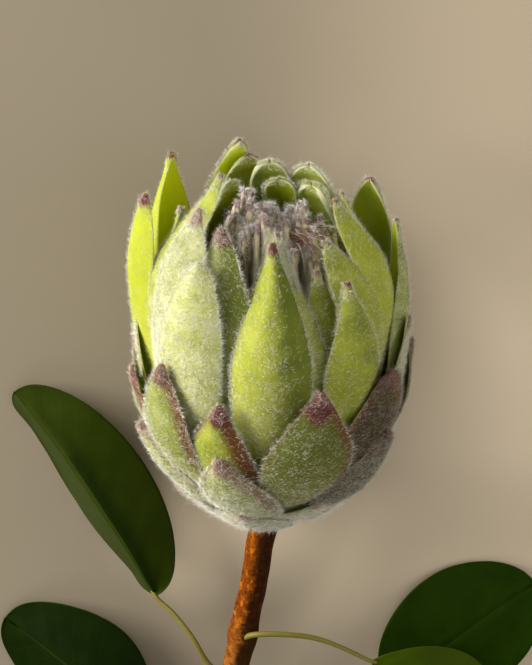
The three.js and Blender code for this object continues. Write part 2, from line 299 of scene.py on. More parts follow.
@dataclass(frozen=True)
class BractFinish:
    """Green bract skin: streaked flesh under a pale felt, brown margins and red tips, with painted light and
    shade that each bract's brightness carries.
    """

    deep: Colour = (0.085, 0.125, 0.002)
    bright: Colour = (0.40, 0.455, 0.012)
    pale: Colour = (0.45, 0.45, 0.09)
    inside: Colour = (0.22, 0.27, 0.002)
    lit_inside: Colour = (0.72, 0.82, 0.006)
    dusk: Colour = (0.038, 0.012, 0.006)
    rust: Colour = (0.125, 0.042, 0.008)
    red: Colour = (0.14, 0.030, 0.028)
    plum: Colour = (0.060, 0.022, 0.022)
    felt: Colour = (0.66, 0.66, 0.47)

    def material(self) -> bpy.types.Material:
        """Build the material that all bracts share; attributes carry what differs.

        Returns:
            The material.
        """
        n = Nodes("bract_skin")
        along, rim, inner, tip = n.attribute("shape")
        fuzz, red, brown, gold = n.attribute("look")
        grain = n.uv()
        wander = n.noise(grain, 1.3, 2)
        streak = n.noise(n.stretched(grain, (5.0, 0.8, 1.0)), 2.0, 5, 0.6)
        cloud = n.noise(grain, 1.5, 5, 0.6)
        fibre = n.noise(n.stretched(grain, (22.0, 9.0, 1.0)), 2.0, 4, 0.75)
        fleck = n.noise(grain, 38.0, 3, 0.75)

        # the brightness attribute is partly painted light and shade, set bract by bract
        light = (gold * 0.75 + streak * 0.35 + cloud * 0.9 + wander * 0.4 - 0.78).between(-0.1, 1.0)
        skin = n.colour(light, self.deep, self.bright)
        skin = n.colour((along.between(0.75, 0.2) * 0.3 + cloud * 0.18 + fuzz * 0.12), skin, self.pale)
        # painted light and shade on the inside: the lit colour where the brightness is high, the darker
        # inside colour where it is shaded
        lining = n.colour((gold + streak * 0.2).between(0.2, 1.1), self.inside, self.lit_inside)
        skin = n.colour(inner, skin, lining)
        # dull brown skin on dried bracts, also reached where painted shade pulls the brightness below 0
        dull = (0 - gold).between(0.0, 0.9)
        skin = n.colour(dull * (0.55 + cloud * 0.7), skin, self.dusk)
        reach = brown * (0.15 + cloud * 0.9 + streak * 0.35)
        margin = (reach - rim).between(-0.10, 0.32) * along.between(0.3, 0.6)
        skin = n.colour(margin, skin, self.rust)
        blush = (red * (0.7 + fleck * 0.6) - tip).between(0.0, 0.25) * (1 - inner * 0.85)
        ripe = n.colour((fleck + cloud * 0.5).between(0.5, 0.9), self.plum, self.red)
        skin = n.colour(blush, skin, ripe)

        down = (fleck * 1.7 + fibre * 1.5 + cloud * 1.1 + fuzz * 0.5 - 2.45).between(0.0, 0.4)
        cover = down * (fuzz * 0.88 + 0.08) * (1 - inner * 0.8) * (1 - dull * 0.75)
        lined = inner * fuzz * rim.between(0.09, 0.02) * along.between(0.7, 0.85)
        skin = n.colour((cover * 0.72 * (1 - blush * 0.5)).most(lined * 0.8), skin, self.felt)

        bump = n.bump(streak + cloud * 0.6, strength=0.25, depth=0.0006)
        bump = n.bump(fibre + fleck, strength=0.7, depth=0.0003, under=bump)
        return n.finish(
            {
                "Base Color": skin,
                "Roughness": 0.55 + cover * 0.4,
                "Normal": bump,
                "Specular IOR Level": 0.2,
                "Subsurface Weight": 0.4,
                "Subsurface Radius": (0.9, 1.0, 0.12),
                "Subsurface Scale": 0.0022,
            }
        )


@dataclass(frozen=True)
class HairFinish:
    """Fine hairs, each in its own tint."""

    name: str
    shade: Colour = (0.40, 0.38, 0.26)

    def material(self) -> bpy.types.Material:
        """Build the material, which reads each hair's tint from the mesh.

        Returns:
            The material.
        """
        n = Nodes(self.name)
        mottle = n.noise(n.place(), 420.0, 2)
        colour = n.colour(mottle.between(0.35, 0.7) * 0.2, n.tint("tint"), self.shade)
        return n.finish({"Base Color": colour, "Roughness": 0.5, "Specular IOR Level": 0.4})


@dataclass(frozen=True)
class FloretFinish:
    """Cream tubes, olive at the foot and darkened by painted shadow on the left, with a mauve-brown felted
    head.
    """

    foot: Colour = (0.50, 0.44, 0.22)
    tube: Colour = (0.82, 0.75, 0.52)
    head: Colour = (0.32, 0.21, 0.20)
    shadow: Colour = (0.10, 0.055, 0.014)
    stain: Colour = (0.20, 0.13, 0.08)

    def material(self) -> bpy.types.Material:
        """Build the material; an attribute holds the share along each floret.

        Returns:
            The material.
        """
        n = Nodes("floret_skin")
        along, dark, _, _ = n.attribute("shape")
        place = n.place()
        cloud = n.noise(place, 260.0, 3)
        fleck = n.noise(place, 1500.0, 2)
        colour = n.colour(along.between(0.0, 0.4), self.foot, self.tube)
        # painted shadow: the tubes on the left, by object X, darkened below their heads where the left bracts
        # shade them
        left = n.axis(place, "X").between(-0.004, -0.008)
        colour = n.colour(left * along.between(0.97, 0.88) * 0.8, colour, self.shadow)
        colour = n.colour((along + cloud * 0.06).between(0.965, 1.0), colour, self.head)
        colour = n.colour(dark * cloud.between(0.4, 0.6) * 0.35, colour, self.stain)
        return n.finish(
            {
                "Base Color": colour,
                "Roughness": 0.62 + fleck * 0.2,
                "Normal": n.bump(fleck, strength=0.4, depth=0.0002),
                "Specular IOR Level": 0.3,
            }
        )


@dataclass(frozen=True)
class StemFinish:
    """Orange-brown bark with dark patches, fine fissures and pale specks, and painted shade on its top and
    right.
    """

    bark: Colour = (0.165, 0.036, 0.001)
    dark: Colour = (0.014, 0.005, 0.001)
    bright: Colour = (0.40, 0.115, 0.002)
    tawny: Colour = (0.24, 0.095, 0.016)
    freckle: Colour = (0.36, 0.22, 0.09)
    wood: Colour = (0.45, 0.36, 0.18)
    ray: Colour = (0.30, 0.20, 0.08)
    pith: Colour = (0.20, 0.12, 0.05)

    def material(self) -> bpy.types.Material:
        """Build the material; an attribute marks the cut end, and the top and the right, turned from the key
        lamp, get painted shade, as does the underside.

        Returns:
            The material.
        """
        n = Nodes("stem_bark")
        along, cut, ring, _ = n.attribute("shape")
        grain = n.uv()
        fissure = n.noise(n.stretched(grain, (2.6, 2.2, 1.0)), 3.0, 7, 0.72)
        ring_crack = n.noise(n.stretched(grain, (1.0, 7.0, 1.0)), 2.6, 5, 0.65)
        around = n.axis(grain, "X")
        patch = n.noise(n.stretched(grain, (1.6, 1.0, 1.0)), 2.2, 4, 0.6)
        speck = n.noise(grain, 26.0, 2)
        colour = n.colour((patch + speck * 0.15).between(0.56, 0.74), self.bark, self.bright)
        colour = n.colour((along + patch * 0.1).between(0.3, 0.5) * 0.7, colour, self.tawny)
        # painted shade: dark laid over the top and the right of the stem, turned from the key lamp, and
        # mirrored onto its underside; it also widens the cracks a little
        painted_shade = (around.size() - patch * 0.35).between(0.34, 0.62)
        colour = n.colour(painted_shade * 0.86, colour, self.dark)
        crack = (fissure + patch * 0.3 - painted_shade * 0.05).between(0.61, 0.51)
        colour = n.colour(crack * 0.65, colour, self.dark)
        colour = n.colour(ring_crack.between(0.54, 0.62) * 0.8, colour, self.dark)
        colour = n.colour(speck.between(0.66, 0.74) * 0.4, colour, self.freckle)
        rays = n.noise(n.stretched(n.place(), (1.0, 0.1, 1.0)), 900.0, 3)
        wood = n.colour(rays.between(0.4, 0.65), self.wood, self.ray)
        wood = n.colour(ring.between(0.3, 0.2), wood, self.pith)
        colour = n.colour(cut, colour, wood)
        return n.finish(
            {
                "Base Color": colour,
                "Roughness": 0.62 + fissure * 0.25,
                "Normal": n.bump(fissure + speck * 0.3, strength=0.7, depth=0.0006),
                "Specular IOR Level": 0.05,
            }
        )


@dataclass(frozen=True)
class LeafFinish:
    """Satin leaf with a pale midrib, fine side veins and a thin light rim; where given, painted light on its
    left half and painted shade in the fold right of its midrib.
    """

    name: str
    top: Colour
    lit: Colour
    under: Colour
    vein: Colour
    # painted light: a paler grey-green laid on the left half, which faces the key lamp
    left: Colour | None = None
    # painted shade: how strongly the fold right of the midrib is darkened, and the colour it is darkened to
    crease_shade: float = 0.0
    crease_shade_colour: Colour = (0.004, 0.010, 0.0)

    def material(self) -> bpy.types.Material:
        """Build the material; the UV map runs across and along the blade.

        Returns:
            The material.
        """
        n = Nodes(self.name)
        along, rim, inner, across = n.attribute("shape")
        grain = n.uv()
        cloud = n.noise(grain, 0.8, 3)
        cell = n.noise(grain, 22.0, 3)
        wobble = n.noise(grain, 1.6, 2)
        slant = along * 46.0 - rim * 9.0 + wobble * 3.0 + across * 1.6
        wave = n.wire("ShaderNodeMath", {"operation": "SINE"}, {"Value": slant * 1.6})
        vein = wave.between(0.965, 1.0) * rim.between(0.98, 0.7) * rim.between(0.02, 0.1)
        midrib = rim.between(0.035, 0.012)
        colour = n.colour((cloud * 1.2 - 0.25 + along * 0.25).between(0.0, 1.0), self.top, self.lit)
        colour = n.colour(cell.between(0.35, 0.7) * 0.25, colour, self.lit)
        # painted light on the left half
        if self.left is not None:
            colour = n.colour((1 - across) * rim.between(0.0, 0.2) * 0.8, colour, self.left)
        # painted shade in the fold along the right of the midrib, short of the tip
        crease_shade_mask = across * rim.between(0.45, 0.02) * (along + cloud * 0.3).between(0.95, 0.7) * self.crease_shade
        colour = n.colour(crease_shade_mask, colour, self.crease_shade_colour)
        colour = n.colour(inner, colour, self.under)
        colour = n.colour(vein * 0.035, colour, self.vein)
        colour = n.colour(midrib * 0.14, colour, self.vein)
        colour = n.colour(rim.between(0.975, 0.998) * 0.35, colour, self.vein)
        bump = n.bump(1 - vein.most(midrib), strength=0.12, depth=0.0003)
        bump = n.bump(cell, strength=0.22, depth=0.00015, under=bump)
        return n.finish(
            {
                "Base Color": colour,
                "Roughness": 0.46 + cloud * 0.14,
                "Normal": bump,
                "Specular IOR Level": 0.03,
            }
        )


@dataclass(frozen=True)
class StalkFinish:
    """Yellow-green leaf stalk with brown freckles and fine ridges."""

    green: Colour = (0.145, 0.15, 0.006)
    tan: Colour = (0.17, 0.115, 0.012)
    freckle: Colour = (0.12, 0.06, 0.02)

    def material(self) -> bpy.types.Material:
        """Build the material.

        Returns:
            The material.
        """
        n = Nodes("leaf_stalk")
        grain = n.uv()
        ridge = n.noise(n.stretched(grain, (9.0, 0.7, 1.0)), 4.0, 3)
        fleck = n.noise(grain, 14.0, 3)
        colour = n.colour(ridge.between(0.35, 0.65), self.green, self.tan)
        colour = n.colour(fleck.between(0.60, 0.72) * 0.7, colour, self.freckle)
        return n.finish(
            {
                "Base Color": colour,
                "Roughness": 0.5 + fleck * 0.2,
                "Normal": n.bump(ridge + fleck * 0.4, strength=0.5, depth=0.0003),
            }
        )


@dataclass(frozen=True)
class FloorFinish:
    """Beige paper with painted light and shade: darker on its left, paler on its right and in a spot beside
    the stem, where it fills in the flower's cast shadow, and toned down at the back and front right.
    """

    # painted light and shade: near is the painted darker left, far the painted paler right, back the
    # toned-down back and front right
    near: Colour = (0.238, 0.204, 0.150)
    far: Colour = (0.80, 0.675, 0.505)
    back: Colour = (0.43, 0.36, 0.265)
    # painted light: the colour, place and size of a paler spot that fills in the flower's shadow beside the
    # stem
    patch: Colour = (0.80, 0.68, 0.51)
    painted_light_at: Place = (0.019, 0.079, 0.0)
    painted_light_scale: Place = (1.0, 1.2, 1.0)
    painted_light_reach: float = 0.045

    def material(self) -> bpy.types.Material:
        """Build the material, which goes by the place on the floor, in metres.

        Returns:
            The material.
        """
        n = Nodes("floor_paper")
        place = n.place()
        cloud = n.noise(place, 3.0, 2)
        across, deep = n.axis(place, "X"), n.axis(place, "Y")
        # painted light: paler towards the right, where the flower's shadow falls
        colour = n.colour(across.between(-0.012, 0.09), self.near, self.far)
        rear = n.colour(across.between(-0.03, 0.08), self.near, self.back)
        colour = n.colour((deep + across * 0.5).between(0.035, 0.10), colour, rear)
        front = deep.between(-0.035, -0.075) * across.between(-0.01, 0.05)
        colour = n.colour(front * 0.6, colour, self.back)
        # painted light: a paler spot beside the stem that cancels the flower's cast shadow
        moved = {"Vector": place, "Location": self.painted_light_at, "Scale": self.painted_light_scale}
        spot = n.wire("ShaderNodeMapping", {}, moved)
        gap = n.wire("ShaderNodeVectorMath", {"operation": "LENGTH"}, {"Vector": spot}, "Value")
        colour = n.colour(gap.between(self.painted_light_reach, 0.0), colour, self.patch)
        colour = n.colour(cloud.between(0.3, 0.7) * 0.06, colour, self.near)
        return n.finish({"Base Color": colour, "Roughness": 0.9, "Specular IOR Level": 0.1})


# ---------------------------------------------------------------- mesh making


@dataclass
class Shape:
    """Where the points of a closed grid or tube lie, and what the finish needs to know about them."""

    points: Array
    grain: Array
    attributes: dict[str, Array] = field(default_factory=dict)


def finished(
    name: str, bm: bmesh.types.BMesh, shape: Shape, material: bpy.types.Material
) -> bpy.types.Object:
    """Put a mesh's points in place and make it a dressed, smooth object.

    Args:
        name: The piece's name.
        bm: The mesh, in its plain state; it is freed.
        shape: Points in metres, grain coordinates and attributes, in the order of its vertices.
        material: Its finish.

    Returns:
        The object, linked to the scene.
    """
    for vert, point in zip(bm.verts, shape.points):
        vert.co = point
    bmesh.ops.recalc_face_normals(bm, faces=bm.faces[:])
    mesh = bpy.data.meshes.new(name)
    bm.to_mesh(mesh)
    bm.free()
    return dressed(name, mesh, shape, material)


def dressed(
    name: str, mesh: bpy.types.Mesh, shape: Shape, material: bpy.types.Material
) -> bpy.types.Object:
    """Give a mesh its grain map, attributes, smooth shading and finish, and an object at the origin.

    Args:
        name: The piece's name.
        mesh: Its mesh.
        shape: Its grain coordinates and attributes.
        material: Its finish.

    Returns:
        The object, linked to the scene.
    """
    corners = np.empty(len(mesh.loops), dtype=np.int32)
    mesh.loops.foreach_get("vertex_index", corners)
    if len(shape.grain):
        mesh.uv_layers.new(name="grain").data.foreach_set("uv", shape.grain[corners].ravel())
    for key, values in shape.attributes.items():
        layer = mesh.color_attributes.new(name=key, type="FLOAT_COLOR", domain="POINT")
        layer.data.foreach_set("color", values.astype(np.float32).ravel())
    mesh.shade_smooth()
    mesh.materials.append(material)
    piece = bpy.data.objects.new(name, mesh)
    bpy.context.scene.collection.objects.link(piece)
    return piece


def seat(piece: bpy.types.Object, node: str) -> bpy.types.Object:
    """Hide the solid that a piece replaces, and make the piece ride on the flower.

    Args:
        piece: The piece.
        node: The solid that it replaces.

    Returns:
        The same piece.
    """
    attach(piece, "root")
    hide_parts(node)
    return piece


def grid_sheet(columns: int, rows: int) -> tuple[bmesh.types.BMesh, Array]:
    """A closed two-sided sheet from an extruded grid.

    Args:
        columns: Faces across.
        rows: Faces along.

    Returns:
        The mesh, and for each vertex (-1 to 1 across, 0 to 1 along, 0 inside or 1 outside).
    """
    bm = bmesh.new()
    bmesh.ops.create_grid(bm, x_segments=columns, y_segments=rows, size=1)
    region = bmesh.ops.extrude_face_region(bm, geom=bm.faces[:])["geom"]
    raised = [v for v in region if isinstance(v, bmesh.types.BMVert)]
    bmesh.ops.translate(bm, vec=(0, 0, 1), verts=raised)
    flat = np.array([v.co[:] for v in bm.verts])
    return bm, stacked(flat[:, 0], (flat[:, 1] + 1) / 2, flat[:, 2])


def cut_cylinder(sides: int, rings: int) -> bmesh.types.BMesh:
    """A closed cylinder of unit radius and length about the origin, cut into rings.

    Args:
        sides: Faces round it.
        rings: Faces along it.

    Returns:
        The mesh.
    """
    bm = bmesh.new()
    bmesh.ops.create_cone(bm, cap_ends=True, segments=sides, radius1=1, radius2=1, depth=1)
    upright = [e for e in bm.edges if abs(e.verts[0].co.z - e.verts[1].co.z) > 0.5]
    bmesh.ops.subdivide_edges(bm, edges=upright, cuts=rings - 1, use_grid_fill=True)
    return bm


def ring_tube(sides: int, rings: int) -> tuple[bmesh.types.BMesh, Array]:
    """A closed tube from a cylinder cut into rings, with an inset at both ends.

    Args:
        sides: Faces round it.
        rings: Faces along it.

    Returns:
        The mesh, and for each vertex (angle, 0 to 1 along, 0 to 1 from its middle line).
    """
    bm = cut_cylinder(sides, rings)
    for share in (0.1, 0.55):
        caps = [f for f in bm.faces if len(f.verts) == sides and abs(f.normal.z) > 0.5]
        bmesh.ops.inset_individual(bm, faces=caps, thickness=share)
    x, y, z = np.array([v.co[:] for v in bm.verts]).T
    return bm, stacked(np.arctan2(y, x), z + 0.5, np.hypot(x, y))


def round_line(middle: Array, way: Array, angle: Array, radius: Array) -> Array:
    """Points round a middle line.

    Args:
        middle: The points of the line.
        way: Its unit directions there.
        angle: The angles round it.
        radius: The distances from it.

    Returns:
        The points.
    """
    across = unit(np.cross(way, UP))
    beside = np.cross(way, across)
    return middle + (across * np.cos(angle)[:, None] + beside * np.sin(angle)[:, None]) * radius[:, None]


@dataclass(frozen=True)
class Template:
    """A small closed mesh that is repeated many times."""

    points: Array
    corners: Array
    sizes: Array

    @classmethod
    def of(cls, bm: bmesh.types.BMesh) -> Self:
        """Read a mesh into a template and free it.

        Args:
            bm: The mesh.

        Returns:
            The template.
        """
        bm.verts.ensure_lookup_table()
        bm.verts.index_update()
        corners = [v.index for f in bm.faces for v in f.verts]
        sizes = [len(f.verts) for f in bm.faces]
        points = np.array([v.co[:] for v in bm.verts])
        bm.free()
        return cls(points, np.array(corners), np.array(sizes))

    @classmethod
    def spike(cls, cuts: int) -> Self:
        """A three-sided spike from z 0 to 1, cut across where it is to bend.

        Args:
            cuts: How many times it is cut across.

        Returns:
            The template.
        """
        bm = bmesh.new()
        bmesh.ops.create_cone(bm, cap_ends=True, segments=3, radius1=0.5, radius2=0.0, depth=1)
        bmesh.ops.translate(bm, vec=(0, 0, 0.5), verts=bm.verts[:])
        for k in range(cuts):
            whole = bm.verts[:] + bm.edges[:] + bm.faces[:]
            bmesh.ops.bisect_plane(bm, geom=whole, plane_co=(0, 0, (k + 1) / (cuts + 1)), plane_no=(0, 0, 1))
        return cls.of(bm)

    @classmethod
    def reed(cls, sides: int, rings: int) -> Self:
        """A closed reed of unit radius from z 0 to 1.

        Args:
            sides: Faces round it.
            rings: Faces along it.

        Returns:
            The template.
        """
        bm = cut_cylinder(sides, rings)
        bmesh.ops.translate(bm, vec=(0, 0, 0.5), verts=bm.verts[:])
        return cls.of(bm)

    def mesh(self, name: str, places: Array) -> bpy.types.Mesh:
        """Lay out copies as one mesh.

        Args:
            name: The mesh's name.
            places: Points in metres, as copies by template points by three.

        Returns:
            The mesh of all copies.
        """
        count, points = places.shape[:2]
        corners = (np.arange(count)[:, None] * points + self.corners).ravel()
        sizes = np.tile(self.sizes, count)
        mesh = bpy.data.meshes.new(name)
        mesh.vertices.add(count * points)
        mesh.vertices.foreach_set("co", places.astype(np.float32).ravel())
        mesh.loops.add(len(corners))
        mesh.loops.foreach_set("vertex_index", corners.astype(np.int32))
        mesh.polygons.add(len(sizes))
        mesh.polygons.foreach_set("loop_start", (np.cumsum(sizes) - sizes).astype(np.int32))
        mesh.update(calc_edges=True)
        return mesh


@dataclass(frozen=True)
class Route:
    """A smooth route through points in millimetres, measured by the share of its length."""

    stops: tuple[Place, ...]
    samples: int = 400
    step: float = 0.004

    def _walk(self) -> tuple[Array, Array]:
        """Close points along the route, and the share of its length at each.

        Returns:
            The points, and their shares of the length.
        """
        p = np.array(self.stops, dtype=float)
        p = np.vstack([2 * p[0] - p[1], p, 2 * p[-1] - p[-2]])
        gap = np.linalg.norm(np.diff(p, axis=0), axis=1) ** 0.5
        along = np.linspace(0, len(self.stops) - 1, self.samples)
        k = np.minimum(along.astype(int), len(self.stops) - 2)
        w = (along - k)[:, None]
        a, b, c, d = p[k], p[k + 1], p[k + 2], p[k + 3]
        g0, g1, g2 = (gap[k + i][:, None] for i in range(3))
        leave = ((b - a) / g0 - (c - a) / (g0 + g1) + (c - b) / g1) * g1
        arrive = ((c - b) / g1 - (d - b) / (g1 + g2) + (d - c) / g2) * g1
        curve = b + leave * w + (3 * (c - b) - 2 * leave - arrive) * w**2
        curve += (2 * (b - c) + leave + arrive) * w**3
        steps = np.linalg.norm(np.diff(curve, axis=0), axis=1)
        length = np.concatenate([[0], np.cumsum(steps)])
        return curve, length / length[-1]

    def length(self) -> float:
        """How long the route is."""
        curve, _ = self._walk()
        return float(np.linalg.norm(np.diff(curve, axis=0), axis=1).sum())

    def at(self, share: Array) -> tuple[Array, Array]:
        """Points and unit directions at shares of the length.

        Args:
            share: The shares.

        Returns:
            The points, and the directions there.
        """
        curve, length = self._walk()
        spot, ahead, behind = (
            np.stack([np.interp(np.clip(s, 0, 1), length, curve[:, i]) for i in range(3)], axis=-1)
            for s in (share, share + self.step, share - self.step)
        )
        return spot, unit(ahead - behind)


# ---------------------------------------------------------------- the bud


@dataclass(frozen=True)
class Cup:
    """The curve that the outer bracts follow, and how the bud lies. Millimetres, from the stem joint."""

    radius: float = 45.4
    belly: float = 61.0  # the height where it is widest
    shoulder: float = 110.0  # the height of the half ellipse above that
    fullness: float = 1.08
    lie: float = math.radians(12)  # how steeply its axis rises towards the mouth
    press: float = 1.5  # how much of the belly the surface flattens

    @property
    def lower_arc(self) -> float:
        """The length of the curve below its widest level."""
        return (self.radius + self.belly) / 2 * math.pi / 2

    def at(self, run: Array) -> tuple[Array, Array, Array]:
        """Follow the curve.

        Args:
            run: Lengths along it from the stem joint.

        Returns:
            (distance from the axis, height) points, their outward normals, and the girth radius there.
        """
        below = run < self.lower_arc
        axis = np.where(below, self.belly, self.shoulder)
        over = math.pi / 2 + (run - self.lower_arc) / self.shoulder
        angle = np.where(below, run / self.lower_arc * math.pi / 2, over)
        sine, cosine = np.sin(angle), np.cos(angle)
        radius = self.radius * np.where(below, np.abs(sine) ** self.fullness, sine)
        normal = unit(stacked(axis * sine, -self.radius * cosine))
        girth = self.radius / axis * np.hypot(axis * sine, self.radius * cosine)
        return stacked(radius, self.belly - axis * cosine), normal, girth

    def run_at(self, height: float) -> float:
        """The length along the curve at a height above the stem joint.

        Args:
            height: The height.

        Returns:
            The length.
        """
        if height < self.belly:
            return math.acos(1 - height / self.belly) / (math.pi / 2) * self.lower_arc
        angle = math.acos(-(height - self.belly) / self.shoulder)
        return self.lower_arc + (angle - math.pi / 2) * self.shoulder

    def joint(self) -> Array:
        """Where the stem joint is when the bud lies, in millimetres of the frame.

        Returns:
            The place.
        """
        across, along = self.radius * math.cos(self.lie), self.belly * math.sin(self.lie)
        reach = math.hypot(across, along)
        out = self.radius**2 * math.cos(self.lie) / reach
        up = self.belly - self.belly**2 * math.sin(self.lie) / reach
        y = -(out * math.sin(self.lie) + up * math.cos(self.lie))
        return np.array([0, y, out * math.cos(self.lie) - up * math.sin(self.lie) - self.press])

    def turned(self, vectors: Array) -> Array:
        """Turn directions from the upright bud to the lying one.

        Args:
            vectors: Directions in the upright bud.

        Returns:
            Directions in the frame.
        """
        sine, cosine = math.sin(self.lie), math.cos(self.lie)
        x, y, z = np.moveaxis(vectors, -1, 0)
        return stacked(x, y * sine + z * cosine, -y * cosine + z * sine)

    def laid(self, points: Array) -> Array:
        """Bring points of the upright bud into the frame, still in millimetres."""
        return self.turned(points) + self.joint()


CUP = Cup()


@dataclass(frozen=True)
class Row:
    """A row of bracts: how many rows cover its roots, the height it is free from, and its depth."""

    layers: float
    free: float
    inset: float


LAYER = 3  # how much a covering row presses a root in
ROOT_RUN = 9  # where the lowest bract's root is on the curve
ROOT_CLIMB = 0.36  # how much higher a root sits for each millimetre that the tip is higher
LOWEST_TIP = 15
ROOT_SINK = 3
ROOT_SHARE = 0.2
FLESH, RIM = 1.05, 0.36
NUB_PLACE, NUB_REACH = 3.0, 3.0
RIPPLE = 0.018
KEEL = 0.4
SWELL = 0.25


@dataclass(frozen=True)
class Bract:
    """One bract: its place, its shape and how it looks. Millimetres and degrees."""

    row: Row
    at: float  # where it stands round the bud, from the front towards the right
    tip: float  # the height of its tip above the stem joint
    width: float
    under: float = 0.0  # how far it lies under its neighbours
    reach: float | None = None  # how far its tip is from the axis, where it leaves the curve
    turn: float = 0.0  # how far its tip is turned round the bud
    cup: float = 1.0  # its radius across, against the bud's
    fuzz: float = 0.6  # how thick its felt is
    red: float = 0.3  # how far down its tip is red, in centimetres
    brown: float = 0.15  # how far in its rim is brown
    # partly painted light and shade: bracts in the lamp's light are brighter, shaded ones duller
    gold: float = 0.4  # how bright its green is, dull below 0
    point: float = 0.95  # how pointed it is
    bulge: float = 1.6  # how far its middle swells out
    nub: float = 0.8  # how thick the knob at its tip is
    twist: float = 0.0  # how far its upper part is twisted
    lip: float = 0.0  # how much thicker its rim is near the tip
    late: float = 1.2  # how late it leaves the curve
    hook: float = 0.0  # how far its tip bends aside
    # painted shade: darkens the right half, turned from the key lamp, and thins its felt
    shade: float = 0.0  # how much darker and barer its right half is
    widest: float = 0.56  # the share of its length where it is widest
    root: float = 0.28  # how wide its root is, against its widest part

    def middle(self, cup: Cup, t: Array) -> tuple[Array, Array]:
        """The middle line at shares t of its length, as (distance, height), with the girth radius.

        Args:
            cup: The bud's curve.
            t: The shares.

        Returns:
            The (distance, height) points, and the radii.
        """
        start = ROOT_RUN + ROOT_CLIMB * (self.tip - LOWEST_TIP)
        tip_run = cup.run_at(self.tip)
        place, normal, girth = cup.at(mix(start, tip_run, t))
        covered = self.row.layers * LAYER * np.maximum(0, 1 - place[..., 1] / self.row.free)
        sink = ROOT_SINK * np.maximum(0, 1 - t / ROOT_SHARE)
        rest = self.row.inset + self.under
        if self.reach is not None:
            tip, tip_normal, _ = cup.at(np.array(tip_run))
            lean = self.reach - tip[0] + rest * tip_normal[0]
            place = place + stacked(lean * smooth((t - 0.5) / 0.5) ** self.late, 0.0)
        return place - normal * (rest + covered + sink)[..., None], girth

    def half_width(self, t: Array) -> Array:
        """Half its width at shares t of its length.

        Args:
            t: The shares.

        Returns:
            Half its width there.
        """
        rise = mix(self.root, 1, np.sin(np.minimum(t / self.widest, 1) * math.pi / 2))
        fall = np.cos(np.clip((t - self.widest) / (1 - self.widest), 0, 1) * math.pi / 2) ** self.point
        half = self.width / 2 * np.where(t < self.widest, rise, fall)
        ripple = 1 + RIPPLE * np.sin(17 * t + self.at) * smooth((t - 0.4) / 0.3)
        return np.maximum(LEAST_HALF_WIDTH, half * ripple)

    def surface(self, cup: Cup, u: Array, t: Array) -> Array:
        """Points of its middle surface in the upright bud, u from -1 to 1 across and t from 0 to 1 along.

        Args:
            cup: The bud's curve.
            u: Places across, from -1 to 1.
            t: Places along, from 0 to 1.

        Returns:
            The points.
        """
        step = 1e-3
        place, girth = self.middle(cup, t)
        ahead, _ = self.middle(cup, np.minimum(1, t + step))
        behind, _ = self.middle(cup, np.maximum(0, t - step))
        along = unit(ahead - behind)
        bend = girth * self.cup * (1 - 0.3 * t * t)
        half = self.half_width(t)
        angle = u * half / bend
        free = smooth((t - 0.25) / 0.35)
        height = KEEL if self.row not in (INNER, HEART) else 0.0
        keel = height * np.exp(-((u / 0.3) ** 2)) * smooth((t - 0.5) / 0.4) * (1 - 0.7 * t)
        swell = SWELL * np.sin(10 * t + self.at) * np.cos(3 * u + self.at * 1.7) * free
        bulge = self.bulge * ((1 - u * u) - 0.35) * free * (1 - 0.55 * t)
        flat_out = -bend * (1 - np.cos(angle)) + keel + swell + bulge
        flat_side = bend * np.sin(angle) + self.hook * smooth((t - 0.68) / 0.32) ** 1.5
        twist = np.radians(self.twist) * smooth((t - 0.1) / 0.4)
        side = flat_side * np.cos(twist) - flat_out * np.sin(twist)
        drop = -flat_side * np.sin(twist) - flat_out * np.cos(twist)
        azimuth = np.radians(self.at + self.turn * t * t)
        radius = place[..., 0] - drop * along[..., 1]
        return stacked(
            radius * np.sin(azimuth) + side * np.cos(azimuth),
            -radius * np.cos(azimuth) + side * np.sin(azimuth),
            place[..., 1] + drop * along[..., 0],
        )

    def frame_at(self, cup: Cup, u: Array, t: Array) -> tuple[Array, Array, Array, Array]:
        """Points with the directions outward, across and along, in the lying bud.

        Args:
            cup: The bud's curve.
            u: Places across, from -1 to 1.
            t: Places along, from 0 to 1.

        Returns:
            The points and their three directions.
        """
        step = 2e-3
        here = cup.laid(self.surface(cup, u, t))
        across = self.surface(cup, u + step, t) - self.surface(cup, u - step, t)
        along = self.surface(cup, u, np.minimum(1, t + step)) - self.surface(cup, u, np.maximum(0, t - step))
        across, along = (unit(cup.turned(v)) for v in (across, along))
        return here, unit(np.cross(across, along)), across, along

    def thickness(self, u: Array, t: Array) -> Array:
        """How thick it is: fleshy in the middle, thin at the rim, with a nub at the tip.

        Args:
            u: Places across, from -1 to 1.
            t: Places along, from 0 to 1.

        Returns:
            The thickness there.
        """
        side = np.abs(u)
        flesh = mix(FLESH, RIM, side**3) * (1 - 0.35 * t)
        tip = np.exp(-(((1 - t) * self.length() - NUB_PLACE) / NUB_REACH) ** 2)
        lip = self.lip * smooth((side - 0.6) / 0.25) * smooth((t - 0.5) / 0.3) * smooth((1.03 - side) / 0.1)
        return flesh + lip + self.nub * tip * np.sqrt(np.maximum(0, 1 - u * u))

    def length(self) -> float:
        """About how long it is from its root to its tip."""
        return CUP.run_at(self.tip) - ROOT_RUN - ROOT_CLIMB * (self.tip - LOWEST_TIP)

    def skin(self, cup: Cup, u: Array, t: Array, side: Array) -> Array:
        """Points of its outside (side 1) or inside (side 0), kept above the floor.

        Args:
            cup: The bud's curve.
            u: Places across, from -1 to 1.
            t: Places along, from 0 to 1.
            side: 1 for the outside and 0 for the inside.

        Returns:
            The points.
        """
        here, out, _, _ = self.frame_at(cup, u, t)
        thick = self.thickness(u, t)
        points = here + out * (thick * (side - 0.5))[..., None]
        down = out[..., 2] < 0
        floor = np.where((side > 0.5) == down, 0.0, thick)
        points[..., 2] = np.where(down, np.maximum(points[..., 2], floor), points[..., 2])
        return points

